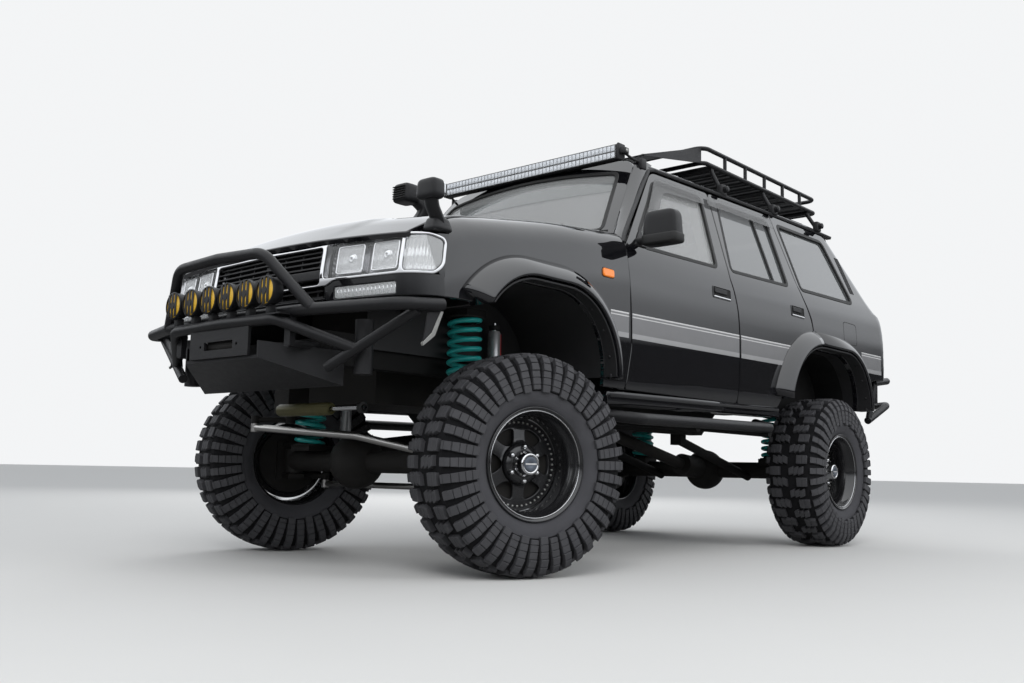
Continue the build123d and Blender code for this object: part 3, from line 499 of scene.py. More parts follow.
def mottle(mat, cloud, color, vary, smooth, rough):
    """Lets a noise vary the colour to either side by a share, and the roughness between two values."""
    nodes, links = mat.node_tree.nodes, mat.node_tree.links
    shader = nodes["Principled BSDF"]
    shade = nodes.new("ShaderNodeMix")
    shade.data_type = "RGBA"
    shade.inputs["A"].default_value = [c * (1 - vary) for c in color] + [1]
    shade.inputs["B"].default_value = [min(1, c * (1 + vary)) for c in color] + [1]
    links.new(cloud.outputs["Fac"], shade.inputs["Factor"])
    links.new(shade.outputs["Result"], shader.inputs["Base Color"])
    gloss = setting(nodes.new("ShaderNodeMapRange"), To_Min=smooth, To_Max=rough)
    links.new(cloud.outputs["Fac"], gloss.inputs["Value"])
    links.new(gloss.outputs["Result"], shader.inputs["Roughness"])


def finish(name, color, rough=0.5, metal=0.0, vary=0.12, grain=40.0, bump=0.1, fine=400.0, coat=0.0,
           coat_rough=0.03, rough_vary=0.12, stretch=(1, 1, 1), specular=0.5, coat_ior=1.5):
    """A surface with uneven colour and roughness at one scale and a fine relief at another."""
    mat = bpy.data.materials.new(name)
    mat.use_nodes = True
    nodes, links = mat.node_tree.nodes, mat.node_tree.links
    shader = setting(nodes["Principled BSDF"], Metallic=metal, Coat_Weight=coat, Coat_Roughness=coat_rough,
                     Coat_IOR=coat_ior, Specular_IOR_Level=specular)
    place = nodes.new("ShaderNodeTexCoord")
    scale = setting(nodes.new("ShaderNodeMapping"), Scale=stretch)
    cloud = setting(nodes.new("ShaderNodeTexNoise"), Scale=grain, Detail=5.0)
    links.new(place.outputs["Object"], scale.inputs["Vector"])
    links.new(scale.outputs["Vector"], cloud.inputs["Vector"])
    mottle(mat, cloud, color, vary, max(0.02, rough * (1 - rough_vary)), min(1.0, rough * (1 + rough_vary)))
    if bump > 0:
        relief = setting(nodes.new("ShaderNodeTexNoise"), Scale=fine, Detail=3.0)
        links.new(scale.outputs["Vector"], relief.inputs["Vector"])
        rise = setting(nodes.new("ShaderNodeBump"), Strength=bump, Distance=0.002)
        links.new(relief.outputs["Fac"], rise.inputs["Height"])
        links.new(rise.outputs["Normal"], shader.inputs["Normal"])
    return mat


def clear(name, color, rough=0.02, alpha=1.0, ior=1.5):
    """Glass or a clear lens: see-through for light and shadow rays, with a gloss on top."""
    mat = bpy.data.materials.new(name)
    mat.use_nodes = True
    nodes, links = mat.node_tree.nodes, mat.node_tree.links
    setting(nodes["Principled BSDF"], Metallic=0.0, Alpha=alpha, IOR=ior, Specular_IOR_Level=0.9)
    place = nodes.new("ShaderNodeTexCoord")
    cloud = setting(nodes.new("ShaderNodeTexNoise"), Scale=3.0)
    links.new(place.outputs["Object"], cloud.inputs["Vector"])
    mottle(mat, cloud, color, 0.04, rough, rough * 1.6)
    return mat


PAINT = finish("black_paint", (0.0045, 0.0045, 0.0056), 0.32, vary=0.2, grain=6, bump=0.015, fine=900,
               coat=1.0, coat_rough=0.02, specular=0.0, coat_ior=1.85)
INNER = finish("black_inner", (0.016, 0.016, 0.017), 0.6, bump=0.1)
SATIN = finish("black_powder_coat", (0.010, 0.010, 0.011), 0.40, bump=0.22, fine=1400, rough_vary=0.2,
               specular=0.35)
FRAME_COAT = finish("frame_coat", (0.008, 0.008, 0.008), 0.7, vary=0.35, grain=12, bump=0.35, fine=300,
                    specular=0.2)
IRON = finish("cast_black", (0.014, 0.013, 0.012), 0.65, vary=0.4, grain=18, bump=0.5, fine=350,
              specular=0.3)
TRIM = finish("black_trim", (0.014, 0.014, 0.015), 0.55, bump=0.3, fine=1500)
SEAL = finish("rubber_seal", (0.012, 0.012, 0.012), 0.6, bump=0.1)
CHROME = finish("chrome", (0.80, 0.80, 0.81), 0.07, metal=1.0, vary=0.03, bump=0.01)
SILVER = finish("silver_paint", (0.56, 0.57, 0.58), 0.30, metal=0.7, vary=0.06, bump=0.03, coat=0.5)
STEEL = finish("brushed_steel", (0.55, 0.54, 0.52), 0.30, metal=1.0, vary=0.12, grain=60, bump=0.12,
               stretch=(1, 12, 12))
ZINC = finish("zinc", (0.42, 0.42, 0.40), 0.38, metal=0.9, vary=0.2, grain=80, bump=0.1)
TEAL = finish("teal_paint", (0.012, 0.26, 0.245), 0.36, vary=0.2, grain=30, bump=0.08, coat=0.3)
GOLD = finish("olive_gold", (0.085, 0.078, 0.032), 0.38, metal=0.5, vary=0.25, grain=30, bump=0.06)
RED = finish("red_paint", (0.45, 0.012, 0.012), 0.35, bump=0.05)
RUBBER = finish("tyre_rubber", (0.044, 0.044, 0.048), 0.72, vary=0.30, grain=14, bump=0.35, fine=500)
DUSTY = finish("tyre_sidewall", (0.044, 0.044, 0.049), 0.80, vary=0.30, grain=10, bump=0.30, fine=700)
# Dirt and painted shade: the casing between the lugs is much darker than the rubber, for the shadow and
# dirt in the grooves.
GROOVE_DIRT_AND_SHADE = finish("tyre_groove_dirt_and_shade", (0.009, 0.009, 0.010), 0.85, vary=0.3, grain=10, bump=0.3, fine=700,
                specular=0.2)
RIM = finish("wheel_black", (0.010, 0.010, 0.011), 0.24, vary=0.2, grain=20, bump=0.02, coat=0.9)
STRIPE = finish("stripe_silver", (0.17, 0.17, 0.175), 0.35, metal=0.3, vary=0.08, grain=20, bump=0.02,
                coat=0.6)
SILVER_BAND = finish("stripe_light", (0.32, 0.32, 0.325), 0.35, metal=0.3, vary=0.06, grain=20, bump=0.02,
                     coat=0.6)
DIAL = finish("hub_dial", (0.10, 0.115, 0.14), 0.35, metal=0.4, vary=0.1, grain=60, bump=0.05)
STRIPE_PALE = finish("stripe_pale", (0.50, 0.50, 0.50), 0.35, vary=0.05, bump=0.02, coat=0.6)
AMBER = clear("amber_lens", (0.85, 0.22, 0.02), 0.08)
RED_LENS = clear("red_lens", (0.45, 0.012, 0.012), 0.06)
YELLOW = finish("lamp_yellow", (0.58, 0.35, 0.03), 0.35, vary=0.08, bump=0.05, coat=0.3)
LENS = clear("clear_lens", (0.90, 0.92, 0.93), 0.03, alpha=0.28)
REFLECTOR = finish("reflector", (0.86, 0.87, 0.88), 0.12, metal=1.0, vary=0.04, grain=120, bump=0.25,
                   fine=120)
GLASS = clear("clear_glass", (0.50, 0.51, 0.51), 0.015, alpha=0.36, ior=1.7)
TINT = clear("tinted_glass", (0.085, 0.090, 0.092), 0.015, alpha=0.88, ior=1.8)
MIRROR = finish("mirror", (0.85, 0.86, 0.87), 0.03, metal=1.0, vary=0.01, bump=0.0)
CLOTH = finish("seat_cloth", (0.15, 0.145, 0.14), 0.9, vary=0.22, grain=160, bump=0.6, fine=1600,
               specular=0.2)
VINYL = finish("cabin_plastic", (0.085, 0.082, 0.078), 0.6, vary=0.12, grain=30, bump=0.35, fine=1200)
LAMP_BACK = finish("lamp_housing", (0.30, 0.30, 0.31), 0.25, metal=0.8, vary=0.05, bump=0.05)
DISC = finish("wheel_disc", (0.026, 0.026, 0.028), 0.22, metal=0.5, vary=0.15, grain=30, bump=0.02,
              coat=0.9)
LED = finish("led_reflector", (0.62, 0.64, 0.67), 0.15, metal=0.7, vary=0.04, bump=0.05)
SMOKE = clear("smoked_plastic", (0.06, 0.06, 0.06), 0.03, alpha=0.45)
# A dark see-through band across the top of the windscreen.
SCREEN_BAND_GLASS = clear("screen_dark_band", (0.02, 0.035, 0.033), 0.03, alpha=0.8)
FILM = clear("thin_cover", (0.9, 0.92, 0.93), 0.015, alpha=0.06)
MESH_DARK = finish("dark_mesh", (0.010, 0.010, 0.010), 0.8, bump=0.2)


# Floor, light and camera

# Height in the sky from 0 to 1, and how bright it is in reflections
SKY = [(0.09, 0.03), (0.15, 0.48), (0.26, 0.80)]
# Name, place, aimed at, size, power
STUDIO_LAMPS = [("key", (5.5, -7.5, 6.5), (0, -0.6, 1.0), 5.0, 520),
                ("side", (8.5, 1.5, 3.5), (0, 0.5, 1.2), 4.0, 260),
                ("back", (-7.0, 6.0, 6.0), (0, 0.5, 1.0), 5.0, 300)]


def studio_floor():
    """A wide disc that is darker to glossy rays than to the eye."""
    floor = finish("studio_floor", (0.66, 0.66, 0.65), 0.75, vary=0.02, grain=1.5, bump=0.02, specular=0.2)
    nodes, links = floor.node_tree.nodes, floor.node_tree.links
    dim = setting(nodes.new("ShaderNodeBsdfDiffuse"), Color=(0.20, 0.20, 0.20, 1))
    choice = nodes.new("ShaderNodeMixShader")
    path = nodes.new("ShaderNodeLightPath")
    links.new(path.outputs["Is Glossy Ray"], choice.inputs["Fac"])
    links.new(nodes["Principled BSDF"].outputs[0], choice.inputs[1])
    links.new(dim.outputs[0], choice.inputs[2])
    links.new(choice.outputs[0], nodes["Material Output"].inputs["Surface"])
    mesh = bpy.data.meshes.new("floor_disc")
    radius, sides = 90.0, 96
    angle = np.linspace(0, 2 * math.pi, sides, endpoint=False)
    corners = [(radius * math.cos(a), radius * math.sin(a), 0) for a in angle]
    mesh.from_pydata(corners, [], [tuple(range(sides))])
    mesh.materials.append(floor)
    disc = bpy.data.objects.new("studio_floor", mesh)
    bpy.context.scene.collection.objects.link(disc)


def studio_world():
    """Even light from all round, pale grey to the eye, and a sky for glossy rays that is dark low down."""
    bpy.context.scene.view_settings.view_transform = "Standard"
    world = bpy.data.worlds.new("studio")
    bpy.context.scene.world = world
    world.use_nodes = True
    nodes, links = world.node_tree.nodes, world.node_tree.links
    nodes.clear()
    out = nodes.new("ShaderNodeOutputWorld")
    mix = nodes.new("ShaderNodeMixShader")
    room = setting(nodes.new("ShaderNodeBackground"), Color=(0.93, 0.96, 1.0, 1), Strength=0.62)
    seen = setting(nodes.new("ShaderNodeBackground"), Color=(0.90, 0.91, 0.92, 1), Strength=1.0)
    shine = setting(nodes.new("ShaderNodeBackground"), Strength=1.5)
    place = nodes.new("ShaderNodeTexCoord")
    parts = nodes.new("ShaderNodeSeparateXYZ")
    rise = nodes.new("ShaderNodeValToRGB")
    stops = rise.color_ramp.elements
    for height, grey in SKY:
        stops.new(height).color = (grey * 0.93, grey * 0.96, grey, 1)
    stops[0].color, stops[-1].color = (0.03, 0.03, 0.03, 1), (0.96, 0.98, 1, 1)
    bright = nodes.new("ShaderNodeMixShader")
    path = nodes.new("ShaderNodeLightPath")
    either = nodes.new("ShaderNodeMath")
    either.operation = "MAXIMUM"
    for source, target in ((place.outputs["Generated"], parts.inputs["Vector"]),
                           (parts.outputs["Z"], rise.inputs["Fac"]),
                           (rise.outputs["Color"], shine.inputs["Color"]),
                           (path.outputs["Is Camera Ray"], either.inputs[0]),
                           (path.outputs["Is Transmission Ray"], either.inputs[1]),
                           (path.outputs["Is Glossy Ray"], bright.inputs["Fac"]),
                           (room.outputs[0], bright.inputs[1]),
                           (shine.outputs[0], bright.inputs[2]),
                           (either.outputs[0], mix.inputs["Fac"]),
                           (bright.outputs[0], mix.inputs[1]),
                           (seen.outputs[0], mix.inputs[2]),
                           (mix.outputs[0], out.inputs["Surface"])):
        links.new(source, target)


def studio_lamps():
    """Three soft square lamps that don't show in reflections."""
    for name, place, aim, size, power in STUDIO_LAMPS:
        light = bpy.data.lights.new(name, "AREA")
        light.shape = "SQUARE"
        light.size = size
        light.energy = power
        lamp = bpy.data.objects.new(name, light)
        lamp.visible_glossy = False
        lamp.location = place
        lamp.rotation_euler = (Vector(place) - Vector(aim)).to_track_quat("Z", "Y").to_euler()
        bpy.context.scene.collection.objects.link(lamp)


def camera():
    """The photograph's view: low, ahead of the car's left front corner, looking slightly up."""
    yaw, pitch, roll = 41.15, 7.15, 1.11
    lens = bpy.data.cameras.new("photo_view")
    lens.lens, lens.sensor_width = 35.66, 36.0
    lens.clip_end = 300
    eye = bpy.data.objects.new("photo_view", lens)
    turnings = turn(yaw, "Z") @ turn(90 + pitch, "X") @ turn(roll, "Z")
    eye.matrix_world = at(3.5416, AXLE_Y - 3.2034, 0.432) @ turnings
    bpy.context.scene.collection.objects.link(eye)
    bpy.context.scene.camera = eye


# Body surfaces: each takes two flat coordinates and gives points on the skin

def half_width(y, z):
    """How far out the side's skin stands at a place on the car and a height."""
    level = z - RISE * y
    return soft(SECTION, level, 0.035) - HALF_WIDE + soft(PLAN, y, 0.08)


def side(y, z):
    y, z = arr(y, z)
    return np.stack([half_width(y, z), y, z], -1)


def side_in(depth):
    """The side's skin moved in by a depth."""
    return lambda y, z: side(y, z) - np.array([depth, 0, 0])


def hood_top(y):
    """The height of the hood's middle line."""
    offsets = np.linspace(-0.10, 0.10, 9)
    front = [np.minimum(1.540 + 0.150 * (y + d), 1.732 + 0.55 * (y + d)) for d in offsets]
    back = soft([(-1, 0.0), (0.15, 0.0), (0.55, -0.020), (0.8, -0.033)], y, 0.1)
    return np.mean(front, axis=0) + back


def hood_skin(x, y):
    x, y = arr(x, y)
    bulge = 0.010 * soft([(0, 1.0), (0.36, 1.0), (0.43, 0.0), (1, 0.0)], np.abs(x), 0.02)
    fade = soft([(-0.75, 0.0), (-0.45, 1.0), (0.6, 1.0)], y, 0.05)
    return np.stack([x, y, hood_top(y) - 0.058 * (x / 0.8) ** 2 + bulge * fade], -1)


def wing(y, v):
    """Front wing: v is z low down, and runs on round the shoulder towards the hood."""
    y, v = arr(y, v)
    top = hood_top(y)
    t = v - (top - SHOULDER_DROP)
    low = soft(SECTION, np.minimum(v - RISE * y, 1.20), 0.03)
    inset = soft(SHOULDER, t, 0.030)
    drop = soft(SHOULDER, t, 0.030, 2)
    x = low - HALF_WIDE + soft(PLAN, y, 0.08) - inset
    z = np.where(t < -0.03, v, top + drop)
    return np.stack([x, y, z], -1)


def nose_skin(s, z):
    """Front face: s is measured across from the middle and runs on round the corner."""
    s, z = arr(s, z)
    corner = [(0.0, 0.0, NOSE_Y), (0.40, 0.40, -0.729), (0.776, 0.772, -0.675), (0.861, 0.840, -0.622),
              (0.947, 0.880, -0.546), (1.25, 0.905, -0.245)]
    x = soft(corner, np.abs(s), 0.03, 1) * np.sign(s)
    y = soft(corner, np.abs(s), 0.03, 2)
    lean = soft([(0.9, 0.012), (1.18, 0.0), (1.30, 0.018), (1.4, 0.05)], z, 0.03)
    return np.stack([x, y + lean, z], -1)


def screen_skin(x, z):
    x, z = arr(x, z)
    wide = np.abs(x)
    y = 0.580 + 0.110 * (np.minimum(wide, 0.762) / 0.762) ** 2 - 0.178 * np.maximum(wide - 0.762, 0)
    y = y + SCREEN_SLOPE * (z - 1.568)
    return np.stack([x, y, z], -1)


def roof_skin(x, y):
    x, y = arr(x, y)
    z = CROWN_Z + RISE * y - ROOF_DROP * (x / ROOF_X) ** 2
    sag = soft([(0.9, 0.020), (1.25, 0.0), (3.1, 0.0), (3.6, 0.020)], y, 0.1)
    return np.stack([x, y, z - sag], -1)


def tail_line(z):
    """How far back the tail's middle stands at a height."""
    low = soft([(0.9, 3.885), (1.15, 3.914), (1.40, 3.914), (STEP_Z, 3.890)], z, 0.02)
    high = 3.850 + TAIL_SLOPE * (z - 1.531)
    return np.where(z < STEP_Z, low, high)


def tail_skin(x, z):
    x, z = arr(x, z)
    bow = soft([(1.0, 0.033), (1.50, 0.033), (1.60, 0.095), (2.2, 0.095)], z, 0.02)
    return np.stack([x, tail_line(z) - bow * (x / 0.71) ** 2, z], -1)


CORNER_A, CORNER_B, CORNER_LENGTH = 0.135, 0.185, 0.255


def corner_start(z):
    """The y at which the side begins to turn in to the tail."""
    return tail_skin(0.71, z)[..., 1] - CORNER_B


def wrap(s, z):
    """Side and tail in one: s is y along the side, runs on round the rear corner and across the tail."""
    s, z = arr(s, z)
    start = corner_start(z)
    angle = np.clip((s - start) / CORNER_LENGTH, 0, 1) * math.pi / 2
    wide = half_width(np.minimum(s, start), z)
    x = wide - CORNER_A * (1 - np.cos(angle))
    y = np.minimum(s, start) + CORNER_B * np.sin(angle)
    past = np.maximum(s - start - CORNER_LENGTH, 0)
    return np.stack([x - past, y, z], -1)


def tail_place(x, z):
    """The s at which wrap crosses the tail at a distance x from the middle."""
    start = corner_start(z)
    return start + CORNER_LENGTH + half_width(start, z) - CORNER_A - x


# Outlines in side view as (y, z), the third value a corner's radius

FRONT_DOOR = [(0.612, 1.467, 0.01), (0.628, 1.300), (0.640, 1.000), (0.606, 0.798, 0.02),
              (1.654, 0.798, 0.02), (1.656, 1.150, 0.1), (1.636, 1.330, 0.1), (1.584, 1.470, 0.05),
              (1.592, 1.540, 0.03), (1.716, 2.000, 0.03), (1.140, 1.986, 0.05)]
REAR_DOOR = [(1.590, 1.470, 0.05), (1.642, 1.330, 0.1), (1.662, 1.150, 0.1), (1.660, 0.798, 0.02),
             (2.130, 0.798, 0.02), (2.166, 0.862, 0.02), (2.221, 1.020, 0.08), (2.340, 1.160, 0.08),
             (2.450, 1.220, 0.06), (2.588, 1.240, 0.02), (2.560, 1.360, 0.08), (2.470, 1.480, 0.08),
             (2.436, 1.560, 0.05), (2.470, 2.020, 0.03), (1.722, 2.002, 0.03), (1.598, 1.540, 0.03)]
FRONT_WINDOW = [(0.790, 1.500, 0.02), (0.790, 1.572, 0.02), (1.150, 1.930, 0.05), (1.606, 1.942, 0.03),
                (1.470, 1.514, 0.03)]
REAR_WINDOW = [(1.630, 1.520, 0.03), (1.790, 1.946, 0.03), (2.380, 1.962, 0.03), (2.300, 1.538, 0.03)]
FRONT_VISOR = [(0.800, 1.560, 0.01), (1.135, 1.940, 0.04), (1.620, 1.962, 0.03), (1.600, 1.895, 0.02),
               (1.175, 1.872, 0.05), (0.880, 1.560, 0.02)]
REAR_VISOR = [(1.640, 1.900, 0.02), (1.662, 1.962, 0.03), (2.440, 1.984, 0.03), (2.430, 1.918, 0.02)]
DOOR_END, FLARE_FOOT = 2.592, 0.853
QUARTER_WINDOW = [(2.486, 1.544, 0.03), (2.540, 1.966, 0.03), (3.210, 1.983, 0.04), (3.282, 1.566, 0.05)]
ARCHES = {"front": ((-0.100, 0.850), 0.335, (0.100, 0.850), 0.335),
          "rear": ((2.610, 0.735), 0.450, (2.950, 0.850), 0.335)}


def arch_line(end, low_front, low_rear, count=10):
    """The wheel arch from its front foot to its rear foot: points and outward directions."""
    (fy, fz), fr, (ry, rz), rr = ARCHES[end]
    rows = [((fy - fr, z), (-1, 0)) for z in np.linspace(low_front, fz, 6)[:-1]] if low_front < fz else []
    first = math.asin(min(1.0, max(0.0, (low_front - fz) / fr)))
    for a in np.linspace(math.pi - first, math.pi / 2, count):
        rows.append(((fy + fr * math.cos(a), fz + fr * math.sin(a)), (math.cos(a), math.sin(a))))
    for a in np.linspace(math.pi / 2, 0, count):
        rows.append(((ry + rr * math.cos(a), rz + rr * math.sin(a)), (math.cos(a), math.sin(a))))
    rows += [((ry + rr, z), (1, 0)) for z in np.linspace(rz, low_rear, 6)[1:]]
    return np.array([r[0] for r in rows]), np.array([r[1] for r in rows])


# Shared shapes

def grow(outline, amount):
    """The outline moved out by an amount, or in if it is negative."""
    loop = turned(np.array(outline, float), 1)
    return loop + edge_directions(loop) * amount


def lifted(surf, amount, out=LEFT):
    """The surface moved out along its normal."""
    def shifted(u, v):
        u, v = arr(u, v)
        flat = np.stack([u.ravel(), v.ravel()], 1)
        co, _, _, normal, _ = frames(surf, flat, out)
        return (co + normal * amount).reshape(u.shape + (3,))
    return shifted


def rect(u0, u1, v0, v1, radius=0.01, steps=4):
    """A rectangle from u0 to u1 and from v0 to v1, with rounded corners."""
    return rounded([(u0, v0), (u1, v0), (u1, v1), (u0, v1)], radius, steps)


def side_sheet(outline, lift, depth, edge, step=(0.03, 0.03)):
    """A small sheet on the car's left side, its face lift out from the skin."""
    return panel(outline, lifted(side, lift), LEFT, depth=depth, edge=edge, step=step)


def decal(outline, surf, out, lift=0.0008):
    """A thin sticker or printed band that lies on a surface."""
    return panel(outline, lifted(surf, lift, out), out, depth=0.0006, edge=0.0002, step=(0.06, 0.03),
                 roll=1)


def frame_ring(outer, inner, surf, out, depth=0.012, edge=0.003, step=(0.06, 0.06)):
    """A flat ring between two outlines, such as a seal or a bezel."""
    return panel(outer, surf, out, [inner], depth=depth, edge=edge, step=step)


def blob(size, square=0.5, taper=(0.0, 0.0), rows=16, columns=28):
    """A rounded box; square 1 is an ellipsoid and 0.2 nearly a box. taper narrows its top in x and y."""
    v = np.linspace(-math.pi / 2, math.pi / 2, rows)[1:-1]
    u = np.linspace(0, 2 * math.pi, columns, endpoint=False)

    def power(value):
        return np.sign(value) * np.abs(value) ** square

    x = np.outer(power(np.cos(v)), power(np.cos(u)))
    y = np.outer(power(np.cos(v)), power(np.sin(u)))
    z = np.repeat(power(np.sin(v))[:, None], columns, 1)
    share = (z + 1) / 2
    points = np.stack([x * (1 - taper[0] * share), y * (1 - taper[1] * share), z], -1).reshape(-1, 3)
    points = np.concatenate([points, [[0, 0, -1], [0, 0, 1]]]) * np.array(size, float) / 2
    count = len(points)
    faces = grid_faces(rows - 2, columns, False, True)
    faces += [(count - 2, (k + 1) % columns, k) for k in range(columns)]
    last = (rows - 3) * columns
    faces += [(count - 1, last + k, last + (k + 1) % columns) for k in range(columns)]
    return points, faces, None


def dome(x, y, z, radius, way=UP, height=0.5):
    """A rivet or bolt head that sits at a point and looks along way."""
    profile = [(0, radius), (radius * height * 0.7, radius * 0.8), (radius * height, radius * 0.4),
               (radius * height, 0.0002), (0, 0.0002)]
    return moved(revolve(profile, 8), facing(x, y, z, way))


def facing(x, y, z, way):
    """Places a shape that was turned about the X axis, so that it looks along way."""
    return at(x, y, z) @ Vector(way).to_track_quat("X", "Z").to_matrix().to_4x4()


def repaint(material, *nodes):
    """Gives carried-over construction pieces their finish."""
    for name in nodes:
        mesh_object = frame["nodes"][name]
        for slot in mesh_object.material_slots:
            slot.material = material
        if not mesh_object.material_slots:
            mesh_object.data.materials.append(material)


# Body panels

HOOD_FRONT_X, HOOD_SIDE = 0.776, 0.792
NOSE_END, NOSE_BOW = 0.945, 0.073
STRIPE_Y = 0.463
STRIPE_TOP, STRIPE_TOP_RISE = 1.151, 0.0125
STRIPE_LOW, STRIPE_LOW_RISE = 1.034, 0.0082
DOOR_CARD = 0.060


def stripe_top(y):
    return STRIPE_TOP + STRIPE_TOP_RISE * (y - STRIPE_Y)


def stripe_low(y):
    return STRIPE_LOW + STRIPE_LOW_RISE * (y - STRIPE_Y)


def stripe(piece, hand, y0, y1, slant=0.0, surf=side, rise=0.0):
    """Silver side stripe: a grey band, two pale lines at its top and a lighter line at its foot."""
    bands = [(0.0, 1.0, STRIPE, 0.0), (0.945, 1.0, STRIPE_PALE, 0.0004), (0.83, 0.87, STRIPE_PALE, 0.0004),
             (0.0, 0.20, SILVER_BAND, 0.0004)]
    for low, high, material, lift in bands:
        rows = []
        for share, backwards in ((low, False), (high, True)):
            ends = [(y0, 0.0), (y1, slant * share)]
            for y, shift in (ends[::-1] if backwards else ends):
                z = stripe_low(y) + (stripe_top(y) - stripe_low(y)) * share + rise
                rows.append((y + shift, z))
        piece.put(hand, (decal(rows, surf, LEFT, 0.0008 + lift), material))


def hood_half(y):
    """Half of the hood's width at a place on the car."""
    return HOOD_SIDE - 0.016 * (y + 0.70) / 1.24


def wing_edge(y, x):
    """The wing's v at which it is x wide."""
    v = hood_top(y) - SHOULDER_DROP + np.linspace(0.10, 0.42, 80)
    return float(np.interp(-x, -wing(y, v)[:, 0], v))


def wings():
    """Front wings with their flare, inner apron, side repeater and wheel arch liners."""
    centre, _ = arch_line("front", 1.068, 0.80, 14)
    top = [(y, wing_edge(y, hood_half(y) + GAP)) for y in np.linspace(0.600, -0.610, 16)]
    outline = [(-0.546, 1.068)] + [tuple(p) for p in centre]
    outline += [(0.600, 0.800), (0.634, 1.000), (0.622, 1.300), (0.606, 1.467)] + top
    outline += [(-0.612, 1.322), (-0.560, 1.316), (-0.546, 1.300)]
    skin = panel(outline, wing, UP_LEFT, depth=0.02, edge=0.004, step=(0.04, 0.022))
    band = flare("front", 1.046, 0.838, lambda y, z: wing(y, z)[..., 0])
    apron = panel([(-0.54, 0.90), (0.594, 0.90), (0.594, 1.42), (-0.54, 1.33)],
                  lambda y, z: np.stack([0.44 + 0 * y, y, z], -1), LEFT, depth=0.004, edge=0.001,
                  step=(0.2, 0.2))
    lens = side_sheet(rect(0.408, 0.490, 1.293, 1.331, 0.012), 0.012, 0.011, 0.006, (0.02, 0.012))
    base = side_sheet(rect(0.404, 0.494, 1.289, 1.335, 0.012), 0.003, 0.004, 0.001)
    for hand in HANDS:
        piece = Piece("front_wing_" + hand, "chassis", "body_paint")
        piece.put(hand, (skin, PAINT), (band, PAINT), (apron, INNER), (lens, AMBER), (base, TRIM))
        stripe(piece, hand, 0.470, 0.612)
        piece.done("fender_" + hand)
        liner("front", hand, 0.430, 0.972, 1.060, 0.842)
        liner("rear", hand, 0.604, 0.972, 0.862, 0.862)


# Distance out from the arch's edge, and share of the way from the skin to the lip
FLARE_ROWS = [(0.112, -0.10), (0.110, 0.06), (0.104, 0.20), (0.094, 0.40), (0.080, 0.60), (0.064, 0.78),
              (0.048, 0.91), (0.034, 0.985), (0.026, 1.0), (0.020, 0.985), (0.018, 0.90), (0.018, 0.40),
              (0.018, -0.30)]
FLARE_LIP = 0.985


def flare(end, low_front, low_rear, skin, keep=None):
    """Over-fender: a rounded band from the skin out to its lip, carried round the arch."""
    centre, out = arch_line(end, low_front, low_rear, 16)
    points = []
    for (y, z), (ny, nz) in zip(centre, out):
        for d, f in FLARE_ROWS:
            py, pz = y + ny * d, z + nz * d
            base = float(skin(np.array([py]), np.array([pz]))[0])
            points.append((base + f * (FLARE_LIP - base), py, pz))
    points = np.array(points).reshape(len(centre), len(FLARE_ROWS), 3)
    return loft(points if keep is None else points[keep(centre[:, 0])])


def liner(end, hand, x0, x1, low_front, low_rear):
    """Dark liner inside a wheel arch, with a row of rivets near its edge."""
    centre, out = arch_line(end, low_front, low_rear, 14)
    section = [(x0, 0.003), (x1, 0.003), (x1, 0.010), (x0, 0.010)]
    rows = [[(x, y + ny * d, z + nz * d) for x, d in section] for (y, z), (ny, nz) in zip(centre, out)]
    piece = Piece("%s_arch_liner_%s" % (end, hand), "chassis", "trim")
    piece.put(hand, (loft(rows), TRIM))
    for (y, z), (ny, nz) in list(zip(centre, out))[1::3]:
        piece.put(hand, (dome(x1 - 0.030, y, z, 0.008, (0, -ny, -nz)), TRIM))
    piece.done(crease=50)


def hood():
    """Hood with its inner sheet and two washer nozzles."""
    across = np.linspace(HOOD_SIDE, -HOOD_SIDE, 17)
    front = [(x, NOSE_Y + NOSE_BOW * (x / HOOD_FRONT_X) ** 2) for x in across]
    left = [(-hood_half(y), y) for y in np.linspace(-0.60, 0.52, 8)]
    right = [(hood_half(y), y) for y in np.linspace(0.52, -0.60, 8)]
    outline = front + left + [(-0.55, 0.543), (0.55, 0.543)] + right
    piece = Piece("hood_skin", "hood", "body_paint")
    piece.add(panel(outline, hood_skin, UP, depth=0.022, edge=0.007, step=(0.045, 0.035)), PAINT)
    inner = panel(grow(np.array(outline), -0.06), lifted(hood_skin, -0.024, UP), UP, depth=0.004,
                  edge=0.001, step=(0.12, 0.12))
    piece.add(inner, INNER)
    nozzle_y = 0.30
    for x in (-0.30, 0.30):
        z = float(hood_skin(x, nozzle_y)[2])
        piece.add(moved(blob((0.030, 0.022, 0.014), 0.6), at(x, nozzle_y, z + 0.003)), TRIM)
    piece.done("hood")


def fender_mirror():
    """Small wide-angle mirror on a stand at the front of the left fender."""
    piece = Piece("fender_mirror_left", "chassis", "trim")
    centre = (0.866, -0.622, 1.466)
    piece.add(moved(blob((0.112, 0.064, 0.080), 0.42, (0.12, 0.0)), at(*centre)), SATIN)
    piece.add(moved(blob((0.094, 0.010, 0.062), 0.4), at(centre[0], centre[1] + 0.030, centre[2])), MIRROR)
    path = [(0.840, -0.548, 1.325), (0.848, -0.565, 1.365), (0.860, -0.604, 1.405), (0.866, -0.620, 1.440)]
    piece.add(sweep(spline(path, 5), ring(1.0, 14) * (0.034, 0.022)), SATIN)
    piece.add(moved(blob((0.090, 0.110, 0.060), 0.45, (0.35, 0.35)), at(0.842, -0.556, 1.345)), SATIN)
    piece.done()


def nose_shape(s0, s1, z0, z1, radius=0.01, lift=0.0, depth=0.01, edge=0.002, step=(0.03, 0.02)):
    """An upright rectangle on the front face, its surface lift out from the skin."""
    surf = lifted(nose_skin, lift, AHEAD) if lift else nose_skin
    return panel(rect(s0, s1, z0, z1, radius), surf, AHEAD, depth=depth, edge=edge, step=step)


LAMPS = [(0.441, 0.580), (0.622, 0.752)]
LAMP_FOOT, LAMP_TOP = 1.172, 1.288


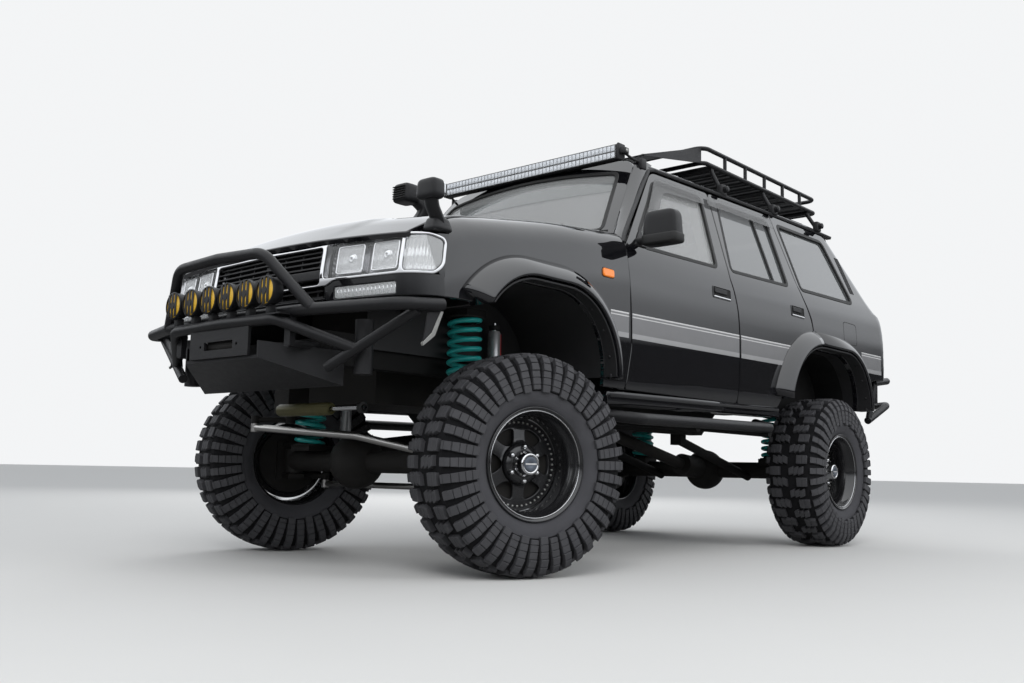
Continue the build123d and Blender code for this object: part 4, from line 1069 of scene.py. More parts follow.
def nose():
    """Front panel: painted valance, bright surround, dark grille, twin headlamps and corner lamps."""
    piece = Piece("front_face", "chassis", "trim")
    blinker = rect(0.442, 0.752, 1.076, 1.124, 0.008)
    valance = panel(rect(0.400, NOSE_END, 1.068, 1.150, 0.008), nose_skin, AHEAD, [blinker], depth=0.02,
                    edge=0.003, step=(0.03, 0.02))
    corner = panel([(0.925, 1.145), (NOSE_END + 0.002, 1.145), (NOSE_END + 0.002, 1.312), (0.85, 1.312)],
                   nose_skin, AHEAD, depth=0.02, edge=0.003, step=(0.03, 0.03))
    lens = nose_shape(0.444, 0.750, 1.078, 1.122, 0.007, -0.002, 0.008, 0.003)
    piece.add(valance, PAINT, True).add(corner, PAINT, True).add(lens, LENS, True)
    glow = nose_shape(0.446, 0.748, 1.080, 1.120, 0.006, -0.016, 0.004, 0.001)
    piece.add(glow, REFLECTOR, True)
    for k in range(16):
        s = 0.452 + k * 0.0194
        piece.add(rib(s, 1.081, 1.119, -0.012, 0.004), REFLECTOR, True)
    chrome_surround(piece)
    grille(piece)
    for hand in HANDS:
        lamp_pair(piece, hand)
    piece.done("front_panel", "headlamps")


def rib(s, z0, z1, lift, radius):
    """One upright flute of a lens."""
    surf = lifted(nose_skin, lift, AHEAD)
    return bar(surf(s, z0).reshape(3), surf(s, z1).reshape(3), radius, 6)


def chrome_surround(piece):
    """Bright frame round the grille, the headlamps and the corner lamps."""
    outer = [(-0.944, 1.180, 0.03), (-0.905, 1.148, 0.02), (-0.44, 1.148, 0.01), (-0.405, 1.130, 0.01),
             (0.405, 1.130, 0.01), (0.44, 1.148, 0.01), (0.905, 1.148, 0.02), (0.944, 1.180, 0.03),
             (0.940, 1.290, 0.03), (0.880, 1.311, 0.03), (0.40, 1.313, 0.01), (-0.40, 1.313, 0.01),
             (-0.880, 1.311, 0.03), (-0.940, 1.290, 0.03)]
    holes = [rect(-0.366, 0.366, 1.1385, 1.289, 0.018)]
    lamp = [(0.384, 1.160), (0.766, 1.160), (0.766, 1.301), (0.384, 1.297)]
    corner = [(0.780, 1.160), (0.900, 1.160), (0.932, 1.190), (0.928, 1.283), (0.870, 1.301),
              (0.780, 1.301)]
    for sign in (1, -1):
        for points in (lamp, corner):
            holes.append(rounded([(s * sign, z) for s, z in points], 0.018))
    surf = lifted(nose_skin, 0.006, AHEAD)
    shape = panel(rounded(outer, 0.01), surf, AHEAD, holes, depth=0.030, edge=0.004, step=(0.02, 0.012))
    piece.add(shape, CHROME)


def grille(piece):
    """Dark slats between thin uprights, with a plain bar across the middle."""
    back = nose_shape(-0.376, 0.376, 1.074, 1.296, 0.01, -0.040, 0.004, 0.001, step=(0.1, 0.1))
    piece.add(back, MESH_DARK)
    for z in (1.090, 1.116, 1.142, 1.216, 1.238, 1.260, 1.280):
        piece.add(nose_shape(-0.368, 0.368, z - 0.0035, z + 0.0035, 0.002, -0.012, 0.022, 0.001), TRIM)
    for s in np.linspace(-0.33, 0.33, 7):
        piece.add(nose_shape(s - 0.0025, s + 0.0025, 1.082, 1.287, 0.001, -0.020, 0.018, 0.0006), TRIM)
    piece.add(nose_shape(-0.366, 0.366, 1.160, 1.200, 0.006, 0.002, 0.03, 0.005, step=(0.03, 0.01)), SATIN)
    rim = frame_ring(rect(-0.400, 0.400, 1.076, 1.137, 0.01), rect(-0.388, 0.388, 1.084, 1.129, 0.008),
                     lifted(nose_skin, -0.004, AHEAD), AHEAD, 0.03, 0.002)
    piece.add(rim, PAINT)


def lamp_pair(piece, hand):
    """Inner and outer headlamp with their bezels, and the clear lamp round the corner."""
    back = nose_shape(0.380, 0.768, 1.158, 1.303, 0.01, -0.045, 0.004, 0.001, step=(0.05, 0.05))
    corner_back = nose_shape(0.780, 0.930, 1.160, 1.301, 0.01, -0.030, 0.004, 0.001, step=(0.03, 0.03))
    piece.put(hand, (back, LAMP_BACK), (corner_back, REFLECTOR))
    for s0, s1 in LAMPS:
        headlamp(piece, hand, s0, s1, LAMP_FOOT, LAMP_TOP)
    for k in range(9):
        piece.put(hand, (rib(0.792 + 0.016 * k, 1.170, 1.290, -0.024, 0.0085), REFLECTOR))
    outline = rounded([(0.782, 1.162), (0.899, 1.162), (0.930, 1.192), (0.926, 1.281), (0.869, 1.299),
                       (0.782, 1.299)], 0.016)
    corner_cover = panel(outline, lifted(nose_skin, 0.002, AHEAD), AHEAD, depth=0.005, edge=0.004,
                         step=(0.02, 0.02))
    cover = panel(rect(0.386, 0.764, 1.162, 1.299, 0.016), lifted(nose_skin, 0.000, AHEAD), AHEAD,
                  depth=0.003, edge=0.002, step=(0.03, 0.03))
    piece.put(hand, (corner_cover, LENS), (cover, FILM))


def headlamp(piece, hand, s0, s1, z0, z1):
    """One headlamp: bright bezel, fluted reflector with its bulb shield, and lens."""
    outer, inner = rect(s0, s1, z0, z1, 0.012), rect(s0 + 0.006, s1 - 0.006, z0 + 0.006, z1 - 0.006, 0.010)
    bezel = frame_ring(outer, inner, lifted(nose_skin, -0.006, AHEAD), AHEAD, 0.036, 0.0025)
    mirror = nose_shape(s0 + 0.004, s1 - 0.004, z0 + 0.004, z1 - 0.004, 0.01, -0.034, 0.003, 0.001)
    piece.put(hand, (bezel, CHROME), (mirror, REFLECTOR))
    flutes = 9
    for k in range(flutes):
        s = s0 + 0.014 + (s1 - s0 - 0.028) * k / (flutes - 1)
        piece.put(hand, (rib(s, z0 + 0.01, z1 - 0.01, -0.034, 0.0085), REFLECTOR))
    lens = nose_shape(s0 + 0.003, s1 - 0.003, z0 + 0.003, z1 - 0.003, 0.01, -0.009, 0.004, 0.002)
    shield = revolve([(0, 0.030), (0.012, 0.026), (0.018, 0.012), (0.018, 0.001), (0, 0.001)], 24)
    centre = nose_skin((s0 + s1) / 2, (z0 + z1) / 2).reshape(3) + (0, 0.028, 0)
    piece.put(hand, (lens, LENS), (moved(shield, facing(*centre, AHEAD)), REFLECTOR))


def door_handle(piece, hand, y0, y1, z0, z1):
    """A recessed pull: painted rim, dark cup, flap and a bright line at its foot."""
    mid = (z0 + z1) / 2
    outer = rect(y0 - 0.004, y1 + 0.004, z0 - 0.004, z1 + 0.004, 0.012)
    rim = frame_ring(outer, rect(y0, y1, z0, z1, 0.010), lifted(side, 0.003), LEFT, 0.006, 0.0015)
    cup = side_sheet(rect(y0, y1, z0, z1, 0.010), 0.0008, 0.002, 0.0004)
    flap = side_sheet(rect(y0 + 0.010, y1 - 0.045, mid - 0.004, z1 - 0.006, 0.006), 0.008, 0.008, 0.003)
    line = side_sheet(rect(y0 + 0.006, y1 - 0.004, z0 + 0.002, z0 + 0.009, 0.002), 0.0045, 0.003, 0.0012)
    piece.put(hand, (rim, PAINT), (cup, MESH_DARK), (flap, TRIM), (line, CHROME))


def door_panels():
    """The four doors: skin, inner card, window rubber, handle, stripe and visor."""
    table = (("front_door", FRONT_DOOR, FRONT_WINDOW, 0.32, (1.386, 1.567, 1.338, 1.394)),
             ("rear_door", REAR_DOOR, REAR_WINDOW, 0.20, (2.290, 2.456, 1.355, 1.414)))
    for name, outline, window, rest_start, handle in table:
        shape, hole = rounded(outline, 0.03), rounded(window, 0.03)
        skin = panel(shape, side, LEFT, [hole], depth=0.034, edge=0.0045, step=(0.05, 0.032))
        card = panel(spaced(grow(shape, -0.034), 0.05), side_in(0.033), LEFT, [grow(hole, 0.006)],
                     depth=DOOR_CARD, edge=0.012, step=(0.10, 0.08))
        rubber = frame_ring(grow(hole, 0.015), grow(hole, -0.006), side_in(-0.002), LEFT, 0.020, 0.003)
        y0 = outline[0][0] + rest_start
        rest = moved(blob((0.070, 0.46, 0.060), 0.35), at(0.806, y0 + 0.16, 1.250))
        pocket = moved(blob((0.050, 0.50, 0.140), 0.3), at(0.812, y0 + 0.16, 0.960))
        for hand in HANDS:
            piece = Piece(name + "_skin_" + hand, name + "_" + hand, "body_paint")
            piece.put(hand, (skin, PAINT), (card, VINYL), (rubber, SEAL), (rest, VINYL), (pocket, VINYL))
            door_handle(piece, hand, *handle)
            if name == "front_door":
                stripe(piece, hand, 0.640, 1.648)
                visor(piece, hand, FRONT_VISOR)
            else:
                stripe(piece, hand, 1.670, 2.212, 0.075)
                divider(piece, hand)
                band = flare("rear", FLARE_FOOT, FLARE_FOOT, half_width, lambda y: y < DOOR_END)
                piece.put(hand, (band, PAINT))
                visor(piece, hand, REAR_VISOR)
            piece.done(name + "_" + hand)


def visor(piece, hand, outline):
    """Smoked rain visor above a door's window."""
    piece.put(hand, (side_sheet(rounded(outline, 0.02), 0.014, 0.003, 0.001, (0.04, 0.03)), SMOKE))


def divider(piece, hand):
    """Upright bar in the rear door's window."""
    outline = [(2.120, 1.520), (2.138, 1.520), (2.205, 1.968), (2.187, 1.968)]
    geo = panel(outline, side_in(0.001), LEFT, depth=0.016, edge=0.003, step=(0.05, 0.05))
    piece.put(hand, (geo, SEAL))


def side_panels():
    """Body sides behind the doors, with the quarter window's rubber and vent lines."""
    tail_x = 0.7145
    back = [(tail_place(tail_x, z), z) for z in np.linspace(1.10, 1.53, 6)]
    back += [(tail_place(tail_x - 0.03 * (z - 1.545) / 0.45, z), z) for z in np.linspace(1.545, 2.06, 8)]
    centre, _ = arch_line("rear", 1.1852, 0.86)
    outline = [(2.596, 1.185)] + [tuple(p) for p in centre[10:]] + [(3.42, 1.035), (3.60, 1.075)] + back
    outline += [(3.40, 2.075), (2.478, 2.046), (2.442, 1.560), (2.477, 1.484), (2.567, 1.364),
                (2.596, 1.243)]
    window = rounded(QUARTER_WINDOW, 0.03)
    skin = panel(rounded(outline, 0.012, 3), wrap, QUARTER, [window], depth=0.03, edge=0.0045,
                 step=(0.045, 0.03))
    rubber = frame_ring(grow(window, 0.018), grow(window, -0.006), side_in(-0.003), LEFT, 0.022, 0.003)
    band = flare("rear", FLARE_FOOT, FLARE_FOOT, half_width, lambda y: y > DOOR_END)
    fuel_flap = frame_ring(rect(3.053, 3.266, 1.271, 1.414, 0.03), rect(3.057, 3.262, 1.275, 1.410, 0.03),
                           lifted(side, 0.0004), LEFT, 0.001, 0.0004)
    vent = []
    for k in range(5):
        middle = 3.335 + 0.014 * k
        line = rect(middle - 0.0035, middle + 0.0035, 1.640, 1.900, 0.003)
        vent.append((panel(line, lifted(wrap, 0.002, QUARTER), QUARTER, depth=0.004, edge=0.001,
                           step=(0.1, 0.1)), TRIM))
    for hand in HANDS:
        piece = Piece("rear_quarter_" + hand, "chassis", "body_paint")
        piece.put(hand, (skin, PAINT), (rubber, SEAL), (band, PAINT), *vent)
        stripe(piece, hand, 3.340, 3.690, surf=wrap, rise=0.055)
        if hand == "left":
            piece.add(fuel_flap, MESH_DARK)
        tail_lamp(piece, hand)
        piece.done("body_side_" + hand)
    door_frames()


def tail_lamp(piece, hand):
    """Lamp cluster on the rear corner, beside the lower tailgate: amber, red and clear fields."""
    s0, s1 = tail_place(0.855, 1.35), tail_place(0.728, 1.35)
    fields = [(1.185, 1.272, RED_LENS), (1.276, 1.350, RED_LENS), (1.354, 1.420, AMBER),
              (1.424, 1.480, LENS)]
    for z0, z1, material in fields:
        lens = panel(rect(s0, s1, z0, z1, 0.006), lifted(wrap, 0.010, CORNER), CORNER, depth=0.010,
                     edge=0.004, step=(0.02, 0.02))
        back = panel(rect(s0 + 0.004, s1 - 0.004, z0 + 0.004, z1 - 0.004, 0.004),
                     lifted(wrap, 0.003, CORNER), CORNER, depth=0.002, edge=0.0006, step=(0.03, 0.03))
        piece.put(hand, (lens, material), (back, REFLECTOR))
    outer = rect(s0 - 0.006, s1 + 0.006, 1.178, 1.487, 0.01)
    inner = rect(s0 - 0.001, s1 + 0.001, 1.183, 1.482, 0.01)
    piece.put(hand, (frame_ring(outer, inner, lifted(wrap, 0.006, CORNER), CORNER, 0.008, 0.002), TRIM))


def door_frames():
    """What the doors close against: pillars, sill and roof rail in one pressed frame, with its seals."""
    outline = [(0.600, 0.800), (2.150, 0.800), (2.190, 0.900), (2.230, 1.010), (2.340, 1.150),
               (2.620, 1.200), (2.640, 1.60), (2.640, 2.030), (1.10, 1.992), (0.610, 1.470)]
    openings = [grow(rounded(door, 0.03), -0.050) for door in (FRONT_DOOR, REAR_DOOR)]
    pressing = panel(rounded(outline, 0.02), side_in(0.047), LEFT, openings, depth=0.055, edge=0.004,
                     step=(0.08, 0.08))
    sill = sweep([(0.842, 0.486, 0.762), (0.842, 2.150, 0.786)], rect(-0.050, 0.050, -0.036, 0.030, 0.016))
    sill_trim = sweep([(0.893, 0.500, 0.768), (0.893, 2.140, 0.790)],
                      rect(-0.004, 0.004, -0.008, 0.008, 0.003))
    rubbers = [frame_ring(grow(shape, 0.010), grow(shape, 0.001), side_in(0.041), LEFT, 0.008, 0.003)
               for shape in openings]
    for hand in HANDS:
        piece = Piece("door_frame_" + hand, "chassis", "body_paint")
        piece.put(hand, (pressing, PAINT), (sill, PAINT), (sill_trim, TRIM))
        piece.put(hand, *((rubber, SEAL) for rubber in rubbers))
        piece.done()


def door_mirrors():
    """Mirror on each front door: head, glass, dark band, stalk and foot."""
    head = moved(blob((0.192, 0.092, 0.166), 0.36, (0.12, 0.10), 20, 36), at(1.020, 0.735, 1.560))
    glass = moved(blob((0.160, 0.012, 0.132), 0.36, (0.08, 0.0)), at(1.018, 0.777, 1.560))
    band = moved(blob((0.194, 0.094, 0.052), 0.30, (0.0, 0.0), 12, 36), at(1.020, 0.735, 1.506))
    stalk = sweep(spline([(0.868, 0.742, 1.515), (0.905, 0.738, 1.512), (0.945, 0.736, 1.520)], 5),
                  ring(1.0, 14) * (0.022, 0.018))
    foot = side_sheet(rounded([(0.700, 1.490), (0.800, 1.490), (0.800, 1.590), (0.770, 1.565)], 0.012),
                      0.008, 0.012, 0.004)
    for hand in HANDS:
        piece = Piece("door_mirror_" + hand, "front_door_" + hand, "trim")
        piece.put(hand, (head, SATIN), (glass, MIRROR), (band, SEAL), (stalk, TRIM), (foot, TRIM))
        piece.done()


def screen_frame():
    """Windscreen surround, its seal and a dark see-through band across the top of the glass."""
    outer = [(-SCREEN_HALF, 1.545, 0.03), (SCREEN_HALF, 1.545, 0.03), (0.655, 2.010, 0.04),
             (0.600, 2.045, 0.05),
             (0.300, 2.070, 0.1), (0, 2.078, 0.1), (-0.300, 2.070, 0.1), (-0.600, 2.045, 0.05),
             (-0.655, 2.010, 0.04)]
    opening = [(-0.700, 1.590, 0.03), (0.700, 1.590, 0.03), (0.592, 1.958, 0.04), (0.30, 1.985, 0.1),
               (0, 1.996, 0.1), (-0.30, 1.985, 0.1), (-0.592, 1.958, 0.04)]
    hole = rounded(opening, 0.03)
    surround = panel(rounded(outer, 0.03), screen_skin, SCREEN, [grow(hole, 0.004)], depth=0.03, edge=0.006,
                     step=(0.05, 0.04))
    seal = frame_ring(grow(hole, 0.012), grow(hole, -0.008), lifted(screen_skin, 0.003, SCREEN), SCREEN,
                      0.02, 0.004)
    band = [(-0.628, 1.846, 0.01), (0.628, 1.846, 0.01), (0.612, 1.902, 0.01), (0, 1.932, 0.2),
            (-0.612, 1.902, 0.01)]
    shade = panel(rounded(band, 0.02, 8), lifted(screen_skin, -0.010, SCREEN), SCREEN, depth=0.001,
                  edge=0.0003, step=(0.05, 0.05))
    piece = Piece("windscreen_frame", "chassis", "body_paint")
    piece.add(surround, PAINT).add(seal, SEAL).add(shade, SCREEN_BAND_GLASS)
    piece.done()


def pillar_trims():
    """Skin between the windscreen's edge and the front door, with the dark drip moulding over the doors."""
    rows = []
    for z in np.linspace(1.470, 2.035, 14):
        share = (z - 1.545) / 0.465
        x_front = SCREEN_HALF - 0.117 * max(share, 0)
        front = screen_skin(x_front, z).reshape(3)
        y_door = np.interp(z, [1.467, 1.545, 1.986, 2.05], [0.600, 0.655, 1.130, 1.200])
        rear = side(y_door, z).reshape(3)
        depth = np.array([-0.030, 0.020, -0.010])
        middle = (front + rear) / 2 + np.array([0.010, -0.004, 0.004])
        rows.append([front, (front + middle) / 2 + (0.003, -0.002, 0), middle,
                     (rear + middle) / 2 + (0.002, 0, 0), rear, rear + depth, front + depth])
    line = [(0.600, 1.485), (0.660, 1.556), (0.880, 1.765), (1.085, 1.956), (1.150, 1.996), (1.300, 2.008),
            (2.20, 2.033), (3.20, 2.060), (3.42, 2.064)]
    path = [(float(side(y, z)[0]) + 0.004, y, z) for y, z in line]
    moulding = sweep(spline(path, 5), rect(-0.009, 0.009, -0.009, 0.009, 0.005, 3))
    for hand in HANDS:
        piece = Piece("screen_pillar_" + hand, "chassis", "body_paint")
        piece.put(hand, (loft(rows), PAINT), (moulding, TRIM))
        piece.done(crease=40)


COWL_Y, SCREEN_FOOT = 0.548, 1.560
WIPER_ARM = [(-0.010, -0.003), (0.010, -0.003), (0.006, 0.004), (-0.006, 0.004)]


def wipers():
    """Cowl with its slots, and the two wipers that stand on it."""
    piece = Piece("wipers_and_cowl", "chassis", "trim")
    rows = []
    for x in np.linspace(-0.740, 0.740, 21):
        front_z = float(hood_skin(x, COWL_Y)[2])
        back = screen_skin(x, SCREEN_FOOT).reshape(3)
        rows.append([(x, COWL_Y, front_z - 0.014), (x, 0.575, front_z - 0.020),
                     (x, back[1] + 0.004, back[2] - 0.004), (x, back[1] + 0.004, back[2] - 0.022),
                     (x, 0.550, front_z - 0.036)])
    piece.add(loft(rows), TRIM)
    for k in range(44):
        x = -0.70 + k * 0.0326
        z = float(hood_skin(x, COWL_Y)[2])
        piece.add(block(x - 0.003, x + 0.003, 0.556, 0.574, z - 0.024, z - 0.014, 0.001), MESH_DARK)
    skin = lifted(screen_skin, 0.014, SCREEN)
    for pivot, tip in ((0.50, -0.06), (-0.14, -0.66)):
        middle = (pivot + tip) / 2
        base = skin(pivot, SCREEN_FOOT).reshape(3)
        elbow = skin(pivot - 0.06, 1.618).reshape(3)
        end = skin(middle - 0.04, 1.628).reshape(3)
        arm = rounded(WIPER_ARM, 0.002)
        blade = [skin(x, 1.632 - 0.02 * abs(x - middle)).reshape(3)
                 for x in np.linspace(pivot - 0.02, tip, 9)]
        piece.add(moved(blob((0.05, 0.05, 0.05), 0.7), at(*base)), TRIM)
        piece.add(sweep([base, elbow, end], arm), TRIM)
        piece.add(sweep(blade, [(-0.006, -0.011), (0.006, -0.011), (0.004, 0.006), (-0.004, 0.006)]), SEAL)
    piece.done()


def roof():
    """Roof skin with its lining and the cheeks down to the gutters."""
    front = [(x, 1.040 + 0.020 * (x / 0.6) ** 2) for x in np.linspace(0.600, -0.600, 13)]
    back = [(x, 3.478 - 0.030 * (x / 0.6) ** 2) for x in np.linspace(-0.600, 0.600, 13)]
    outline = front + [(-0.640, 1.100), (-0.655, 1.30), (-0.655, 3.30), (-0.640, 3.42)] + back
    outline += [(0.640, 3.42), (0.655, 3.30), (0.655, 1.30), (0.640, 1.100)]
    piece = Piece("roof_skin", "chassis", "body_paint")
    piece.add(panel(outline, roof_skin, UP, depth=0.030, edge=0.015, step=(0.08, 0.08)), PAINT)
    inner = panel(grow(np.array(outline), -0.03), lifted(roof_skin, -0.034, UP), UP, depth=0.004,
                  edge=0.001, step=(0.2, 0.2))
    piece.add(inner, VINYL)
    cheek = []
    for y in np.linspace(1.10, 3.46, 16):
        low = side(y, GUTTER_Z + RISE * y + 0.002).reshape(3)
        high = roof_skin(0.652, y).reshape(3)
        cheek.append([low + (0, 0, -0.012), low + (0.004, 0, 0), (low + high) / 2 + (0.004, 0, 0.002), high,
                      high - (0.03, 0, 0.012), low - (0.03, 0, 0.012)])
    piece.add(loft(cheek), PAINT, True)
    piece.done("roof")


def lower_tailgate():
    """Drop-down gate with its inner card, plate recess, blank plate, pull and stripe."""
    def sheet(outline, lift, depth, edge, step):
        return panel(outline, lifted(tail_skin, lift, ASTERN), ASTERN, depth=depth, edge=edge, step=step)

    outline = rect(-0.708, 0.708, 1.152, 1.534, 0.02)
    skin = panel(outline, tail_skin, ASTERN, depth=0.045, edge=0.006, step=(0.06, 0.03))
    card = sheet(grow(outline, -0.05), -0.046, 0.02, 0.008, (0.2, 0.2))
    recess = frame_ring(rect(-0.26, 0.26, 1.225, 1.375, 0.02), rect(-0.235, 0.235, 1.235, 1.365, 0.01),
                        lifted(tail_skin, 0.012, ASTERN), ASTERN, 0.016, 0.006)
    plate = sheet(rect(-0.165, 0.165, 1.240, 1.360, 0.006), 0.006, 0.003, 0.001, (0.1, 0.1))
    pull = sheet(rect(-0.20, 0.20, 1.420, 1.470, 0.015), 0.014, 0.016, 0.008, (0.05, 0.02))
    band = [(-0.700, 1.176), (0.700, 1.176), (0.700, 1.200), (-0.700, 1.200)]
    piece = Piece("lower_tailgate", "tailgate_lower", "body_paint")
    piece.add(skin, PAINT).add(card, VINYL).add(recess, TRIM).add(plate, STRIPE_PALE).add(pull, TRIM)
    piece.add(decal(band, tail_skin, ASTERN), STRIPE)
    piece.done("tailgate_lower")


def upper_tailgate():
    """Lift-up gate with its window's seal and its wiper."""
    outline = rounded([(-0.708, 1.548, 0.01), (0.708, 1.548, 0.01), (0.697, 1.600), (0.586, 2.044, 0.04),
                       (0.30, 2.083, 0.1), (0, 2.100, 0.1), (-0.30, 2.083, 0.1), (-0.586, 2.044, 0.04),
                       (-0.697, 1.600)], 0.02)
    window = rounded([(-0.640, 1.610), (0.640, 1.610), (0.535, 2.010), (-0.535, 2.010)], 0.035)
    out = (0, 1, 0.3)
    skin = panel(outline, tail_skin, out, [window], depth=0.032, edge=0.006, step=(0.06, 0.03))
    seal = frame_ring(grow(window, 0.016), grow(window, -0.008), lifted(tail_skin, 0.003, out), out,
                      0.02, 0.004)
    glass = lifted(tail_skin, 0.016, out)
    pivot = glass(0.0, 1.585).reshape(3)
    blade = [glass(x, 1.628 + 0.03 * abs(x) / 0.35).reshape(3) for x in np.linspace(0.02, -0.42, 7)]
    arm = [(-0.008, -0.003), (0.008, -0.003), (0.006, 0.004), (-0.006, 0.004)]
    piece = Piece("upper_tailgate", "tailgate_upper", "body_paint")
    piece.add(skin, PAINT).add(seal, SEAL).add(moved(blob((0.05, 0.05, 0.05), 0.7), at(*pivot)), TRIM)
    piece.add(sweep([pivot, blade[3]], arm), TRIM)
    piece.add(sweep(blade, [(-0.006, -0.010), (0.006, -0.010), (0.004, 0.006), (-0.004, 0.006)]), SEAL)
    piece.done("tailgate_upper")


# Wheels and tyres, drawn for the left side with the axle along X and their middle plane at x = 0

TYRE_X = 0.815
LUGS = 42
TYRE_LINE = [(0.126, 0.224), (0.137, 0.238), (0.149, 0.258), (0.1565, 0.284), (0.1565, 0.330),
             (0.1500, 0.380), (0.134, 0.411), (0.114, 0.4260), (0.060, 0.4305), (0.0, 0.4315)]
SIDE_LUG, TREAD_LUG = 0.0150, 0.0200
LUG_FOOT = 0.292
NUT_CIRCLE = 0.1397


def tyre_profile():
    """Half of the casing's section as distances along it, points and outward normals."""
    line = spline(TYRE_LINE, 6)
    reach = np.concatenate([[0], np.cumsum(np.linalg.norm(np.diff(line, axis=0), axis=1))])
    along = np.gradient(line, axis=0)
    along /= np.linalg.norm(along, axis=1)[:, None]
    return reach, line, np.stack([along[:, 1], -along[:, 0]], 1)


def lug(profile, start, end, widths, height, skew=0.0):
    """A block on the casing between two distances along its section; widths are at its two ends."""
    reach, line, normal = profile
    chamfer = 0.0018
    count = max(2, int((end - start) / 0.014) + 1)
    stations = [start] + list(np.linspace(start + chamfer, end - chamfer, count)) + [end]
    rows = []
    for k, s in enumerate(stations):
        x, r = np.interp(s, reach, line[:, 0]), np.interp(s, reach, line[:, 1])
        nx, nr = np.interp(s, reach, normal[:, 0]), np.interp(s, reach, normal[:, 1])
        share = (s - start) / (end - start)
        half = (widths[0] + (widths[1] - widths[0]) * share) / 2
        middle = skew * (share - 0.5)
        top = height - (chamfer if k in (0, len(stations) - 1) else 0)
        edge = [(-half, -0.006), (-half, top - chamfer), (-half + chamfer, top), (half - chamfer, top),
                (half, top - chamfer), (half, -0.006)]
        row = []
        for across, up in edge:
            radius = r + nr * up
            angle = (across + middle) / radius
            row.append((x + nx * up, radius * math.cos(angle), radius * math.sin(angle)))
        rows.append(row)
    return loft(rows)


def distance_at(profile, value, column):
    """How far along the section its radius (column 1) or its x (column 0) reaches a value."""
    reach, line, _ = profile
    if column == 0:
        far = line[:, 1] > 0.40
        return float(np.interp(-value, -line[far, 0], reach[far]))
    near = reach < reach[np.argmax(line[:, 1] > 0.43)]
    return float(np.interp(value, line[near, 1], reach[near]))


def tyre_half(profile):
    """The lugs of the outer half: long ones that run on over the shoulder between shorter ones."""
    shapes = []
    cuts = [0.316, 0.344, 0.371, 0.397, 0.420]
    shoulder = distance_at(profile, 0.118, 0)
    inward = distance_at(profile, 0.052, 0)
    for k in range(LUGS):
        long_one = k % 2 == 0
        first, last = (0.286, 0.009) if long_one else (0.296, 0.016)
        levels = [distance_at(profile, r, 1) for r in [first] + cuts] + [shoulder - last]
        spread = [0.034, 0.037, 0.037, 0.036, 0.034, 0.034, 0.035]
        group = [lug(profile, levels[0], levels[-1], (0.028, 0.030), SIDE_LUG * 0.75)]
        for step, (a, b, w0, w1) in enumerate(zip(levels, levels[1:], spread, spread[1:])):
            height = SIDE_LUG + 0.0012 * step * (step > 2)
            group.append(lug(profile, a + 0.0010, b - 0.0010, (w0, w1), height))
        if long_one:
            group.append(lug(profile, shoulder + 0.006, inward, (0.048, 0.052), TREAD_LUG * 0.8))
            middle = (shoulder + inward) / 2
            group.append(lug(profile, shoulder + 0.006, middle - 0.001, (0.048, 0.052), TREAD_LUG))
            group.append(lug(profile, middle + 0.001, inward, (0.052, 0.050), TREAD_LUG))
        else:
            centre = [distance_at(profile, x, 0) for x in (0.094, 0.064, 0.036, 0.006)]
            for a, b in zip(centre, centre[1:]):
                group.append(lug(profile, a + 0.001, b - 0.001, (0.042, 0.042), TREAD_LUG, 0.012))
        shape = joined(group)
        shapes.append(moved(shape, turn(360 * k / LUGS, "X")))
    return joined(shapes)


def portion(geo, keep):
    """The faces of a shape whose middles pass a test, with only the points they use."""
    points, faces, _ = geo
    faces = [f for f in faces if keep(points[list(f)].mean(0))]
    used = sorted({i for f in faces for i in f})
    place = {old: new for new, old in enumerate(used)}
    return points[used], [tuple(place[i] for i in f) for f in faces], None


def tyre():
    """Casing, plain low down, dark between its lugs with dirt and painted shade; both halves' lugs and
    beads.
    """
    profile = tyre_profile()
    line = profile[1]
    other = [(-x, r) for x, r in line[::-1][1:]]
    inner = [(-0.100, 0.214), (0.100, 0.214)]
    casing = revolve([tuple(p) for p in line] + other + inner, 126)
    half = tyre_half(profile)
    opposite = moved(flip(half), turn(360 / LUGS, "X"))
    bead = revolve([(0.1275 + 0.004 * math.cos(a), 0.2325 + 0.004 * math.sin(a))
                    for a in np.linspace(0, 2 * math.pi, 8, endpoint=False)], 96)
    # The casing where the lugs stand gets the darker material: painted shade and dirt between the lugs.
    plain = portion(casing, lambda p: math.hypot(p[1], p[2]) < LUG_FOOT)
    covered = portion(casing, lambda p: math.hypot(p[1], p[2]) >= LUG_FOOT)
    return [(plain, DUSTY), (covered, GROOVE_DIRT_AND_SHADE), (half, RUBBER), (opposite, RUBBER), (bead, RUBBER),
            (flip(bead), RUBBER)]


def polar(radius, degrees):
    """A point at a radius and an angle."""
    return (radius * math.cos(math.radians(degrees)), radius * math.sin(math.radians(degrees)))


